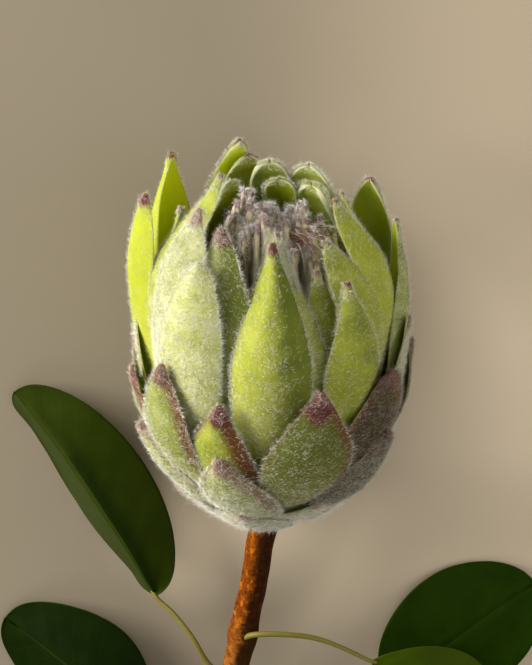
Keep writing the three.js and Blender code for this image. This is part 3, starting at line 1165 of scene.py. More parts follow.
    def felt(self, u: Array, t: Array) -> Array:
        """How densely hairs stand: thick on the base and the rims, thinner in the middle and on a right half
        with painted shade.

        Args:
            u: Places across, from -1 to 1.
            t: Places along, from 0 to 1.

        Returns:
            The density there, from 0 to 1.
        """
        bare = np.exp(-((u / 0.8) ** 4)) * smooth((t - 0.35) / 0.25) * smooth((1.02 - t) / 0.15)
        # the right half of a bract with painted shade gets thinner felt, which also leaves its skin less pale
        sunless = 0.9 * self.shade * smooth((u + 0.1) / 0.7) * smooth((t - 0.3) / 0.2)
        bald = 1.3 * self.brown * (1 - self.fuzz) * smooth((u - 0.3) / 0.3) * smooth((t - 0.3) / 0.3)
        bald = bald * (self.gold > -1)
        return self.fuzz * mix(1.0, mix(0.6, 1.0, self.fuzz**2), bare) * (1 - sunless) * (1 - bald)

    def looks(self, u: Array, t: Array) -> Array:
        """Its finish attribute: felt, reach of the red tip in centimetres, browning, and brightness with
        painted shade on its right half.
        """
        brown = self.brown * mix(0.35, 1.0, smooth((u + 0.3) / 0.6))
        return stacked(self.felt(u, t), self.red, brown, self.gold - self.shade * smooth((u + 0.4) / 1.0))

    def measures(self, u: Array, t: Array, side: Array) -> Array:
        """Its shape attribute: share along, centimetres from the rim, inside, centimetres from the tip.

        Args:
            u: Places across, from -1 to 1.
            t: Places along, from 0 to 1.
            side: 1 for the outside and 0 for the inside.

        Returns:
            Four numbers for each point.
        """
        half = self.half_width(t) / MM_IN_CM
        tip = np.hypot((1 - t) * self.length() / MM_IN_CM, 1.9 * u * half)
        return stacked(t, (1 - np.abs(u)) * half, 1 - side, tip)


BASE = Row(layers=0, free=1, inset=0.2)
LOW = Row(layers=1, free=28, inset=0)
MIDDLE = Row(layers=2, free=44, inset=0.2)
SHOULDER = Row(layers=3, free=78, inset=0.2)
UPPER = Row(layers=4, free=88, inset=0.6)
INNER = Row(layers=4, free=96, inset=3.4)
HEART = Row(layers=4, free=96, inset=6.8)

BRACTS = (
    Bract(BASE, -18, 15, 25, fuzz=1, brown=0.2, gold=0.5),
    Bract(BASE, 31, 17, 28, under=1.7, fuzz=1, brown=0.2, gold=0.7, bulge=0.6),
    Bract(BASE, 84, 16, 25, fuzz=1, brown=0.2, gold=0.5),
    Bract(BASE, 135, 15, 25, under=1.4, fuzz=1, brown=0.2, gold=0.1),
    Bract(BASE, 186, 16, 25, fuzz=1, brown=0.2, gold=0.1),
    Bract(BASE, 238, 15, 25, under=1.4, fuzz=1, brown=0.2, gold=0.1),
    Bract(BASE, 288, 17, 25, fuzz=1, brown=0.2, gold=0.1),
    Bract(
        LOW, -16.4, 42, 24.2, turn=-6, cup=0.85, fuzz=0.9, red=0.7, brown=0.7, gold=0.25, point=1, bulge=2.6,
        nub=1.5, hook=0.5,
    ),
    Bract(LOW, 57, 43, 34, cup=0.7, fuzz=0.95, red=0.4, brown=0.8, gold=-1, bulge=3),
    Bract(LOW, 106, 40, 32, cup=0.85, fuzz=0.95, brown=0.6, gold=-0.5),
    Bract(LOW, 155, 42, 32, fuzz=0.9, brown=0.5, gold=0.15),
    Bract(LOW, 205, 40, 32, fuzz=0.9, brown=0.5, gold=0.15),
    Bract(LOW, 248, 43, 32, under=1.4, fuzz=0.9, brown=0.5, gold=0.2),
    Bract(LOW, 288, 41, 32, cup=0.85, fuzz=0.9, red=0.5, brown=0.4, gold=0.3, bulge=2.6),
    Bract(
        MIDDLE, -24.9, 60.7, 23.2, under=1.4, turn=3.4, fuzz=0.5, red=0.75, brown=0.8, gold=0.6, point=0.94,
        bulge=3, nub=2.2, hook=0.8,
    ),
    Bract(
        MIDDLE, 16.8, 66.3, 29.5, turn=0.6, fuzz=0.5, red=1.15, brown=0.5, gold=-0.25, point=1.06, nub=3.2,
        hook=1.3, shade=0.1,
    ),
    Bract(MIDDLE, 52.1, 64.4, 35.5, under=1.4, turn=3.2, red=0.7, brown=1, gold=-1.3, point=0.6, nub=1.5),
    Bract(MIDDLE, 101, 60, 30, fuzz=0.95, red=0.6, brown=0.7, gold=-0.6),
    Bract(MIDDLE, 140, 63, 30, under=1.4, fuzz=0.9, brown=0.5, gold=0.2),
    Bract(MIDDLE, 180, 61, 30, fuzz=0.9, brown=0.5, gold=0.2, bulge=0.6),
    Bract(MIDDLE, 218, 64, 30, under=1.4, fuzz=0.9, brown=0.5, gold=0.2),
    Bract(MIDDLE, 252, 61, 30, fuzz=0.8, red=0.7, brown=0.5, gold=0.3),
    Bract(MIDDLE, 280, 58, 28, under=1.4, red=0.9, brown=0.9, gold=0.3),
    Bract(
        MIDDLE, 307.5, 69.6, 24.2, turn=6.1, fuzz=0.75, red=0.85, brown=0.6, gold=0.3, bulge=2.2, nub=2,
        hook=-0.1,
    ),
    Bract(SHOULDER, 80, 75, 30, under=1.2, fuzz=1, red=0.5, brown=0.4, gold=-0.15, bulge=0.3),
    Bract(SHOULDER, 124, 79, 29, under=1.4, fuzz=0.9, brown=0.3, gold=0.3),
    Bract(SHOULDER, 158, 80, 29, fuzz=0.8, brown=0.3),
    Bract(SHOULDER, 190, 78, 29, under=1.4, fuzz=0.8, brown=0.3),
    Bract(SHOULDER, 222, 81, 29, fuzz=0.8, brown=0.3, gold=0.5),
    Bract(SHOULDER, 258, 79, 34, under=1.4, fuzz=1, red=0.5, brown=0.2, gold=0.5),
    Bract(
        UPPER, -0.4, 107.4, 26, reach=26, turn=1.6, cup=0.5, fuzz=0.62, red=0.55, brown=0, gold=0.95,
        point=1.22, bulge=3.2, nub=1.8, late=1.57, shade=1,
    ),
    Bract(
        UPPER, 40.4, 97.1, 22.8, reach=38.5, turn=-3.8, cup=0.6, fuzz=0.45, brown=0, gold=0.65, point=1.09,
        bulge=2.2, nub=1.6, late=1.57, hook=-1, shade=0.3,
    ),
    Bract(
        UPPER, 86.4, 102.3, 27.8, reach=38.7, turn=12.2, cup=0.53, fuzz=0.75, brown=0, point=0.74, twist=1.2,
        late=1.09, widest=0.6,
    ),
    Bract(
        UPPER, 124.9, 107.8, 30.7, under=1.4, reach=41, turn=5.1, cup=0.8, fuzz=0.7, red=0.6, brown=0,
        gold=0.15, point=0.66, nub=2, late=1.1,
    ),
    Bract(UPPER, 165, 98, 28, reach=39, cup=0.75, fuzz=0.7, red=0.5, brown=0, gold=0.5, point=0.8),
    Bract(UPPER, 202, 97, 28, under=1.4, reach=39, cup=0.75, fuzz=0.7, red=0.5, brown=0, gold=0.5, point=0.8),
    Bract(
        UPPER, 243.8, 118.2, 33.7, reach=36.7, turn=-7.8, cup=0.3, fuzz=0.12, red=0.35, brown=0, gold=1,
        point=1.22, bulge=2.5, nub=1.4, late=1.46,
    ),
    Bract(
        UPPER, 270.2, 114.1, 16.3, under=1.4, reach=37.8, turn=4.5, cup=1.09, fuzz=0.2, red=0.6, brown=0,
        gold=1, point=0.63, bulge=1.2, nub=1.8, twist=-27.8, late=1.78, widest=0.7, root=1.5,
    ),
    Bract(
        UPPER, 316.2, 102.9, 27.2, reach=37.6, turn=9.7, cup=0.6, fuzz=1, red=0, brown=0, gold=1, point=0.6,
        bulge=2.8, nub=0.2, late=1.53,
    ),
    Bract(
        INNER, 7.2, 109, 30, reach=17.6, turn=-6.9, cup=0.65, fuzz=0.7, red=0.2, brown=0, gold=0.7,
        point=1.35, nub=1, late=1.64,
    ),
    Bract(
        INNER, 61.2, 107.7, 26.9, under=1.4, reach=27.9, turn=-19.4, cup=0.75, fuzz=0.5, brown=0, gold=0.65,
        point=0.88, late=2.35, hook=-3.5,
    ),
    Bract(
        INNER, 87.1, 116.1, 29, under=1.4, reach=21.5, turn=-26.4, cup=0.72, fuzz=0.45, brown=0, gold=0.85,
        point=0.92, late=1.78,
    ),
    Bract(INNER, 112, 109, 25, reach=25, turn=8, cup=0.6, brown=0, point=0.7),
    Bract(
        INNER, 153, 114, 26, under=1.4, reach=26.4, cup=0.7, fuzz=1, red=0.15, brown=0, gold=0.1, point=0.5,
        nub=1.8, widest=0.7,
    ),
    Bract(
        INNER, 178, 114.5, 13.4, reach=25, turn=3, cup=0.7, fuzz=1, red=0, brown=0, gold=0.1, point=0.4,
        nub=1.8, lip=0.5, widest=0.9,
    ),
    Bract(
        INNER, 214, 121.3, 19, under=1.4, reach=28.7, turn=-14, cup=0.6, fuzz=0.7, red=0.35, brown=0,
        gold=0.8, point=0.7, nub=2, widest=0.7,
    ),
    Bract(INNER, 248, 104, 25, reach=30, cup=0.7, brown=0, gold=0.6),
    Bract(
        INNER, 279.4, 122.6, 31.5, under=1.4, reach=16.1, turn=13.4, cup=0.64, brown=0, gold=0.65, point=0.89,
        late=1.43, widest=0.42,
    ),
    Bract(
        INNER, 302.9, 117.1, 29.2, reach=30.1, turn=13, cup=0.65, fuzz=1, red=0.75, brown=0, gold=0.5,
        point=1.01, bulge=2.2, nub=1.2, late=1.34,
    ),
    Bract(
        INNER, 335.7, 112.3, 26.5, under=1.2, reach=28.6, turn=-6.1, cup=0.85, fuzz=0.85, red=0.75, brown=0,
        gold=0.55, point=0.83, bulge=2, nub=1.2, late=1.09, shade=0.8,
    ),
    Bract(HEART, 5, 110, 17, reach=22, cup=0.6, fuzz=1, brown=0, gold=0.2, nub=2),
    Bract(HEART, 31, 99, 20, reach=29, turn=-3, cup=0.6, brown=0, gold=0.5),
    Bract(HEART, 98, 106, 20, reach=21, cup=0.6, brown=0, gold=0.5),
    Bract(
        HEART, 138, 111, 13, reach=20, turn=2, cup=0.6, fuzz=1, red=0, brown=0, gold=0.2, point=0.35, nub=2.2,
        lip=1.8, widest=0.94,
    ),
    Bract(
        HEART, 169, 112, 10.5, reach=18, turn=2, cup=0.55, red=0, brown=0, gold=0, point=0.35, lip=0.4,
        widest=0.95,
    ),
    Bract(
        HEART, 195, 117, 24, under=1.4, reach=28, cup=0.6, fuzz=0.9, red=0.4, brown=0, gold=0.3, point=0.5,
        nub=2, widest=0.7,
    ),
    Bract(
        HEART, 233, 113.5, 10.5, reach=17, turn=-7, cup=0.6, red=0, brown=0, gold=0.3, point=0.35,
        widest=0.92,
    ),
)


@dataclass
class Hairs:
    """Hairs gathered from many surfaces and made into a few pieces. Millimetres."""

    name: str
    node: str
    slot: Slot
    cuts: int
    most: int
    ceiling: float = 90.6
    ground: float = 0.05
    batches: list[tuple[Array, ...]] = field(default_factory=list)

    def add(
        self, roots: Array, ways: Array, bows: Array, lengths: Array, widths: Array, tints: Array
    ) -> None:
        """Gather hairs.

        Args:
            roots: Where they grow from.
            ways: Unit directions that they start in.
            bows: How far and which way their tips are drawn aside, as a share of their length.
            lengths: How long they are.
            widths: How thick they are at the root.
            tints: Their colours.
        """
        self.batches.append((roots, ways, bows, lengths, widths, tints))

    def build(self, material: bpy.types.Material) -> list[bpy.types.Object]:
        """Make the gathered hairs into pieces of at most the allowed number each.

        Args:
            material: Their finish.

        Returns:
            The pieces.
        """
        template = Template.spike(self.cuts)
        roots, ways, bows, lengths, widths, tints = map(np.concatenate, zip(*self.batches))
        helper = np.where(np.abs(ways[:, 2:]) < 0.9, UP, (1.0, 0.0, 0.0))
        across = unit(np.cross(ways, helper))
        beside = np.cross(ways, across)
        x, y, z = template.points.T
        places = roots[:, None] + ways[:, None] * (lengths[:, None] * z)[..., None]
        places += bows[:, None] * (lengths[:, None] * z**2)[..., None]
        section = across[:, None] * x[None, :, None] + beside[:, None] * y[None, :, None]
        places += section * widths[:, None, None]
        places[..., 2] = np.clip(places[..., 2], self.ground, self.ceiling)
        pieces = []
        count = math.ceil(len(roots) / self.most)
        for k, part in enumerate(np.array_split(np.arange(len(roots)), count)):
            name = f"{self.name}_{k + 1}"
            mesh = template.mesh(name, places[part] * MM)
            paint = np.concatenate([tints[part], np.ones((len(part), 1))], axis=1)
            paint = np.repeat(paint, len(x), axis=0)
            piece = dressed(name, mesh, Shape(np.empty(0), np.empty(0), {"tint": paint}), material)
            pieces.append(seat(piece, self.node))
        return pieces


@dataclass
class BractCup:
    """The bud's overlapping bracts and the woody receptacle that they grow from."""

    cup: Cup
    columns: int = 18
    rows: int = 32
    low_rows: int = 18
    low: float = 50  # bracts with lower tips have fewer faces
    grain_steps: tuple[float, float] = (3.7, 1.9)
    round_steps: int = 40
    receptacle: tuple[tuple[float, float], ...] = (
        (0, 1), (6, 1), (11, 3), (18, 8), (23, 15), (27.5, 24), (27, 32), (20, 38), (0, 40),
    )

    def build(self) -> list[bpy.types.Object]:
        """Make every bract and the receptacle.

        Returns:
            The pieces.
        """
        finish = BractFinish().material()
        pieces = [self.bract(k, bract, finish) for k, bract in enumerate(BRACTS)]
        pieces.append(self.core("receptacle", self.receptacle, finish))
        return [seat(piece, "bracts") for piece in pieces]

    def bract(self, index: int, bract: Bract, finish: bpy.types.Material) -> bpy.types.Object:
        """Make one bract from a two-sided sheet.

        Args:
            index: Its number in the table.
            bract: The bract.
            finish: Its material.

        Returns:
            The piece.
        """
        rows = self.low_rows if bract.tip < self.low else self.rows
        bm, (u, t, side) = self.sheet(rows, blunt=bract.widest > 0.75)
        points = bract.skin(self.cup, u, t, side)
        across, along = (index * step for step in self.grain_steps)
        grain = stacked(
            u * bract.half_width(t) / MM_IN_CM + across, bract.length() * t / MM_IN_CM + along
        )
        attributes = {"shape": bract.measures(u, t, side), "look": bract.looks(u, t)}
        return finished(f"bract_{index + 1:02d}", bm, Shape(points * MM, grain, attributes), finish)

    def sheet(self, rows: int, blunt: bool) -> tuple[bmesh.types.BMesh, Array]:
        """A two-sided sheet, finer towards its rims and its tip, and finest there if it is blunt.

        Args:
            rows: Faces along it.
            blunt: Whether its tip is broad.

        Returns:
            The mesh, and the places across, along and outside of its vertices.
        """
        bm, place = grid_sheet(self.columns, rows)
        u, t, side = place.T
        u = np.sin(u * 1.2) / math.sin(1.2)
        t = 1 - (1 - t) ** 2.1 if blunt else np.sin(t * 1.25) / math.sin(1.25)
        return bm, np.array([u, t, side])

    def core(
        self, name: str, profile: Sequence[tuple[float, float]], finish: bpy.types.Material
    ) -> bpy.types.Object:
        """Spin a (distance, height) profile about the bud's axis.

        Args:
            name: The piece's name.
            profile: The profile, in millimetres.
            finish: Its material.

        Returns:
            The piece.
        """
        bm = bmesh.new()
        verts = [bm.verts.new((radius, 0, height)) for radius, height in profile]
        edges = [bm.edges.new(pair) for pair in zip(verts, verts[1:])]
        turn = {"axis": UP, "cent": (0, 0, 0), "angle": math.tau, "steps": self.round_steps}
        bmesh.ops.spin(bm, geom=verts + edges, use_merge=True, **turn)
        bmesh.ops.remove_doubles(bm, verts=bm.verts[:], dist=0.01)
        points = np.array([v.co[:] for v in bm.verts])
        x, y, z = points.T
        height = (z - z.min()) / np.ptp(z)
        grain = stacked(np.arctan2(y, x) * 2, z / MM_IN_CM)
        attributes = {
            "shape": stacked(height * 0.2, 1.0, 0.0, 3.0),
            "look": np.tile([1.0, 0.0, 0.0, 0.0], (len(points), 1)),
        }
        return finished(name, bm, Shape(self.cup.laid(points) * MM, grain, attributes), finish)


@dataclass
class BractFuzz:
    """The felt of the bracts: hairs over what can be seen of them, and more along their rims."""

    cup: Cup
    pieces: list[bpy.types.Object]
    density: float = 8.0
    rim_density: float = 10.6
    crown: int = 230
    mouth_crown: int = 520
    back: float = 0.4  # the share of hairs underneath
    mouth_height: float = 104
    clear: float = 0.35
    cover_test: float = 4.0  # no hair grows where something is this close above
    lowest: float = 1.2
    lengths: tuple[float, float] = (0.9, 2.0)
    widths: tuple[float, float] = (0.045, 0.12)
    bent_stretch: float = 1.35
    cream: Colour = (0.90, 0.90, 0.74)
    grey: Colour = (0.90, 0.87, 0.76)
    rosy: Colour = (0.58, 0.34, 0.33)
    rng: np.random.Generator = field(default_factory=lambda: np.random.default_rng(11))

    def build(self) -> list[bpy.types.Object]:
        """Grow the hairs of every bract.

        Returns:
            The pieces of hair.
        """
        short = Hairs("fuzz_short", "bracts", Slot.BRACT, cuts=0, most=44000)
        long = Hairs("fuzz_long", "bracts", Slot.BRACT, cuts=1, most=17500)
        tree = self.tree()
        for bract in BRACTS:
            self.felt(bract, tree, short, long)
            self.fringe(bract, tree, short, long)
        finish = HairFinish("bract_hair").material()
        for hairs in (short, long):
            log.info("%s: %d hairs", hairs.name, sum(len(batch[0]) for batch in hairs.batches))
        return short.build(finish) + long.build(finish)

    def tree(self) -> BVHTree:
        """A search tree of all the bracts, in metres.

        Returns:
            The tree.
        """
        verts: list[Vector] = []
        faces: list[list[int]] = []
        for piece in self.pieces:
            start = len(verts)
            verts += [v.co.copy() for v in piece.data.vertices]
            faces += [[start + k for k in face.vertices] for face in piece.data.polygons]
        return BVHTree.FromPolygons(verts, faces)

    def open_to_air(self, tree: BVHTree, points: Array, out: Array) -> Array:
        """Which points have nothing close above them.

        Args:
            tree: The search tree of all the bracts.
            points: The points, in millimetres.
            out: The directions to look in.

        Returns:
            True for each point that is open.
        """
        reach = self.cover_test * MM
        starts = (points + out * self.clear) * MM
        hits = (tree.ray_cast(Vector(p), Vector(n), reach)[0] for p, n in zip(starts, out))
        return np.array([hit is None for hit in hits], dtype=bool)

    def care(self, bract: Bract) -> float:
        """The share of hairs that a bract gets: all in front and at the mouth, fewer underneath.

        Args:
            bract: The bract.

        Returns:
            The share.
        """
        if bract.tip > self.mouth_height:
            return 1.0
        return float(mix(self.back, 1.0, smooth(0.65 + 0.8 * math.cos(math.radians(bract.at)))))

    def tints(self, bract: Bract, t: Array) -> Array:
        """Hair colours: creamy white, greyer low on the bud and rosy at red tips.

        Args:
            bract: The bract.
            t: How far along it the hairs stand.

        Returns:
            Their colours.
        """
        count = len(t)
        low = smooth((46 - bract.tip) / 30)
        base = mix(np.array(self.cream), np.array(self.grey), low)
        from_tip = (1 - t) * bract.length() / MM_IN_CM
        rosy = (smooth((bract.red - from_tip) / 0.25) * (self.rng.random(count) < 0.6))[:, None]
        tints = mix(np.tile(base, (count, 1)), np.array(self.rosy), rosy * 0.85)
        tints = tints * mix(1.0, 0.64, max(0.0, -bract.gold))
        return np.clip(tints * self.rng.uniform(0.6, 1.25, (count, 1)), 0, BRIGHTEST_HAIR)

    def felt(self, bract: Bract, tree: BVHTree, short: Hairs, long: Hairs) -> None:
        """Scatter hairs over the outside of one bract.

        Args:
            bract: The bract.
            tree: The search tree of all the bracts.
            short: Where straight hairs are gathered.
            long: Where bent hairs are gathered.
        """
        rng = self.rng
        count = int(self.density * self.care(bract) * bract.width * bract.length())
        t = rng.random(count)
        u = rng.uniform(-1, 1, count)
        keep = rng.random(count) < bract.half_width(t) / (bract.width / 2) * bract.felt(u, t)
        clump = np.sin(u * 9 + t * 23 + bract.at) * np.sin(t * 41 - u * 7)
        keep &= rng.random(count) < 0.72 + 0.28 * clump
        self.grow(bract, tree, short, long, u[keep], t[keep], 0.04, 1.0, 1.0)

    def fringe(self, bract: Bract, tree: BVHTree, short: Hairs, long: Hairs) -> None:
        """Set longer hairs along both rims of one bract and over its tip.

        Args:
            bract: The bract.
            tree: The search tree of all the bracts.
            short: Where straight hairs are gathered.
            long: Where bent hairs are gathered.
        """
        rng = self.rng
        count = int(self.rim_density * self.care(bract) * mix(0.25, 1.0, bract.fuzz) * bract.length() * 2)
        t = 1 - rng.random(count) ** 1.1 * 0.9
        u = np.sign(rng.uniform(-1, 1, count)) * (1 - 0.06 * rng.random(count))
        mouth = bract.row in (INNER, HEART) and 90 < bract.at < 260
        outer = 0.8 if mouth else 1.0
        self.grow(bract, tree, short, long, u, t, 0.11, 1.15, outer)
        crown = int((self.mouth_crown if mouth else self.crown) * mix(0.4, 1.0, bract.fuzz))
        t = 1 - (0.03 if mouth else 0.075) * rng.random(crown)
        size, bent = (0.72, 0.08) if mouth else (1.0, 0.25)
        self.grow(bract, tree, short, long, rng.uniform(-1, 1, crown), t, bent, size, outer)

    def grow(
        self,
        bract: Bract,
        tree: BVHTree,
        short: Hairs,
        long: Hairs,
        u: Array,
        t: Array,
        share: float,
        size: float,
        outer: float,
    ) -> None:
        """Grow hairs at places on a bract.

        Args:
            bract: The bract.
            tree: The search tree of all the bracts.
            short: Where straight hairs are gathered.
            long: Where bent hairs are gathered.
            u: Places across.
            t: Places along.
            share: The share of them that are long and bent.
            size: Their length against the usual.
            outer: The share of them that stand on its outside; the others stand on its inside.
        """
        rng = self.rng
        here, out, across, along = bract.frame_at(self.cup, u, t)
        out = out * np.where(rng.random(len(u)) < outer, 1.0, -1.0)[:, None]
        roots = here + out * (bract.thickness(u, t) * 0.5)[:, None]
        shown = self.open_to_air(tree, roots, out) & (roots[:, 2] > self.lowest)
        roots, out, across, along = (a[shown] for a in (roots, out, across, along))
        u, t = u[shown], t[shown]
        count = len(u)
        edge = (np.sign(u) * np.abs(u) ** 8)[:, None]
        drift = rng.normal(0, 0.75, (count, 1)) + edge * 0.9
        lift = rng.uniform(0.12, 0.75, (count, 1)) + 0.15 * np.abs(edge)
        ways = unit(along * rng.normal(0.55, 0.55, (count, 1)) + across * drift + out * lift)
        bows = rng.normal(0, 0.28, (count, 3)) + along * 0.12
        low = smooth((50 - bract.tip) / 35)
        lengths = rng.uniform(*self.lengths, count) * size * mix(0.8, 1.1, bract.fuzz) * mix(1.0, 1.5, low)
        widths = mix(*self.widths, rng.random(count) ** 1.4)
        tints = self.tints(bract, t)
        curved = rng.random(count) < share
        straight = ~curved
        short.add(*(a[straight] for a in (roots, ways, bows * 0, lengths, widths, tints)))
        long.add(*(a[curved] for a in (roots, ways, bows, lengths * self.bent_stretch, widths, tints)))


@dataclass
class Florets:
    """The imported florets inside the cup: leaning tubes, felted heads and long reddish styles."""

    cup: Cup
    count: int = 260
    clumps: int = 34
    bed_radius: float = 25.0
    crown: float = 108.0
    crown_drop: float = 10.0
    front_gap: float = 0.32
    uneven: tuple[float, float] = (-5.2, 2.4)  # how far single florets stand below and above
    foot_heights: tuple[float, float] = (66.0, 50.0)  # in the middle and at the rim of the bed
    spreads: tuple[float, float, float] = (0.72, 1.12, 0.80)  # of the feet, the bends and the tops
    girth_stops: tuple[float, ...] = (0, 0.5, 0.78, 0.88, 0.94, 0.98, 1.0)
    girth_radii: tuple[float, ...] = (0.6, 0.68, 0.66, 0.72, 0.95, 0.75, 0.2)
    clump_rise: tuple[float, float] = (-3.2, 3.0)
    style_count: int = 52
    style_heading: tuple[float, float] = (52, 24)  # degrees to the right, and their spread
    mauve: Colour = (0.34, 0.22, 0.22)
    white: Colour = (0.95, 0.93, 0.91)
    style_red: Colour = (0.26, 0.055, 0.05)
    style_pale: Colour = (0.80, 0.74, 0.64)
    # hairs on each floret, the share of it that they cover from its top, and how they crowd there
    felt_layers: tuple[tuple[int, float, float], ...] = (
        (44, 0.16, 2.0), (40, 0.05, 2.0), (12, 0.75, 1.0),
    )
    core: tuple[tuple[float, float], ...] = (
        (0, 40.4), (16, 40.4), (19, 52), (16, 70), (8, 82), (0, 86),
    )
    rng: np.random.Generator = field(default_factory=lambda: np.random.default_rng(5))

    def build(self) -> list[bpy.types.Object]:
        """Make the bed, the tubes, the heads' felt and the styles.

        Returns:
            The pieces.
        """
        finish = FloretFinish().material()
        hair = HairFinish("floret_hair").material()
        bed = BractCup(self.cup).core("floret_bed", self.core, finish)
        pieces = [bed, self.tubes(finish), *self.felt(hair), *self.styles(hair)]
        return [seat(piece, "florets") for piece in pieces]

    def curves(self) -> tuple[Array, Array, Array, Array]:
        """The foot, the bend and the top of every floret in the upright bud, and which clump it is in.

        Returns:
            The feet, bends, tops and clump numbers.
        """
        index = np.arange(self.count)
        spread = np.sqrt((index + 0.5) / self.count)
        rng = np.random.default_rng(7)
        azimuth = index * GOLDEN_ANGLE + rng.normal(0, 0.04, self.count)

        def facing(way: float, width: float) -> Array:
            """How nearly each floret faces a way, from 0 to 1, within so many degrees."""
            return np.exp(-((np.degrees(np.angle(np.exp(1j * (azimuth + way)))) / width) ** 2))

        front, west = facing(0.2, 52), facing(-4.9, 45)
        bed = self.bed_radius * (1 - self.front_gap * front + 0.08 * west)
        top = self.crown - self.crown_drop * spread**2.4 + rng.uniform(*self.uneven, self.count)
        top += 3.0 * front * spread
        east, north = spread * np.sin(azimuth), -spread * np.cos(azimuth)
        top -= 3.2 * smooth((east + 0.15) / 0.5) + 1.6 * smooth((north - 0.1) / 0.5)
        top += 4.5 * np.exp(-(((east + 0.35) / 0.22) ** 2)) * smooth((north - 0.15) / 0.4)
        foot = mix(*self.foot_heights, spread)
        low, middle, high = self.spreads

        def at(share: Array, height: Array) -> Array:
            """Points at a share of the bed's radius and a height."""
            radius = bed * share
            return stacked(radius * np.sin(azimuth), -radius * np.cos(azimuth), height)

        bend = at(spread * middle, mix(foot, top, 0.55)) + rng.normal(0, 0.8, (self.count, 3))
        tip = at(spread * (high - 0.24 * west * spread), top)
        centres = tip[rng.choice(self.count, self.clumps, replace=False)]
        near = np.argmin(np.linalg.norm(tip[:, None, :2] - centres[None, :, :2], axis=2), axis=1)
        rise = rng.uniform(*self.clump_rise, self.clumps)
        bend += (rng.normal(0, 2.0, (self.clumps, 3)) * (1.0, 1.0, 0.0))[near]
        tip[:, :2] += (centres[near, :2] - tip[:, :2]) * 0.5
        tip[:, 2] += rise[near]
        tip += rng.normal(0, 1.4, (self.count, 3)) * (1.0, 1.0, 0.6)
        return at(spread * low, foot), bend, tip, near

    def along(self, share: Array) -> Array:
        """Points of every floret's middle line, as florets by shares by three, in the upright bud.

        Args:
            share: The shares.

        Returns:
            The points.
        """
        foot, bend, tip = (p[:, None] for p in self.curves()[:3])
        s = share[None, :, None]
        return foot * (1 - s) ** 2 + bend * 2 * s * (1 - s) + tip * s**2

    def girth(self, share: Array) -> Array:
        """A floret's radius along it: a slim tube with a swollen, pointed head."""
        return np.interp(share, self.girth_stops, self.girth_radii)

    def tubes(self, finish: bpy.types.Material) -> bpy.types.Object:
        """Bend copies of one reed along every floret.

        Args:
            finish: Their material.

        Returns:
            The piece.
        """
        template = Template.reed(sides=6, rings=7)
        x, y, z = template.points.T
        levels = np.array([0, 0.35, 0.65, 0.82, 0.89, 0.94, 0.98, 1.0])
        share = levels[np.rint(z * 7).astype(int)]
        middle = self.along(share)
        step = 0.01
        way = unit(self.along(np.minimum(1, share + step)) - self.along(np.maximum(0, share - step)))
        across = unit(np.cross(way, (0.0, 1.0, 0.0)))
        beside = np.cross(way, across)
        girth = self.girth(share)[None, :, None] * self.rng.uniform(0.85, 1.15, (self.count, 1, 1))
        section = across * x[None, :, None] + beside * y[None, :, None]
        places = middle + section * girth
        mesh = template.mesh("floret_tubes", self.cup.laid(places) * MM)
        dark = np.repeat(self.rng.random(self.count), len(x))
        shape = stacked(np.tile(share, self.count), dark, 0 * dark, 0 * dark)
        dress = Shape(np.empty(0), np.empty(0), {"shape": shape})
        return dressed("floret_tubes", mesh, dress, finish)

    def felt(self, finish: bpy.types.Material) -> list[bpy.types.Object]:
        """Grow felt over every head, white on some clumps and mauve on others, and down on the tubes.

        Args:
            finish: The hairs' material.

        Returns:
            The pieces.
        """
        rng = self.rng
        hairs = Hairs("floret_fuzz", "florets", Slot.FLORET, cuts=0, most=44000)
        near = self.curves()[3]
        pale = (rng.permutation(self.clumps) / self.clumps)[near][:, None, None]
        mauve, white = np.array(self.mauve), np.array(self.white)
        for per_floret, reach, power in self.felt_layers:
            share = 1 - rng.random(per_floret) ** power * reach
            middle = self.along(share)
            way = unit(middle - self.along(share - 0.01))
            shape = (self.count, per_floret, 1)
            turn = rng.uniform(0, 2 * math.pi, shape)
            across = unit(np.cross(way, (0.0, 1.0, 0.0)))
            out = across * np.cos(turn) + np.cross(way, across) * np.sin(turn)
            roots = middle + out * self.girth(share)[None, :, None] * 0.95
            ways = unit(out * rng.uniform(0.3, 1.2, shape) + way * rng.uniform(-0.5, 0.9, shape))
            kind = pale * 0.5 + rng.random((self.count, 1, 1)) * 0.2 + rng.random(shape) * 0.35
            tints = mix(mauve, white, smooth((kind - 0.12) / 0.3))
            tints = tints * rng.uniform(0.85, 1.1, shape)
            lengths = rng.uniform(0.8, 2.0, shape) * mix(0.85, 1.5, pale)
            total = self.count * per_floret
            widths = rng.uniform(0.10, 0.19, total)
            roots, ways = self.cup.laid(roots), self.cup.turned(ways)
            roots, ways, tints = (a.reshape(total, 3) for a in (roots, ways, tints))
            hairs.add(roots, ways, ways * 0, lengths.ravel(), widths, np.clip(tints, 0, BRIGHTEST_HAIR))
        return hairs.build(finish)

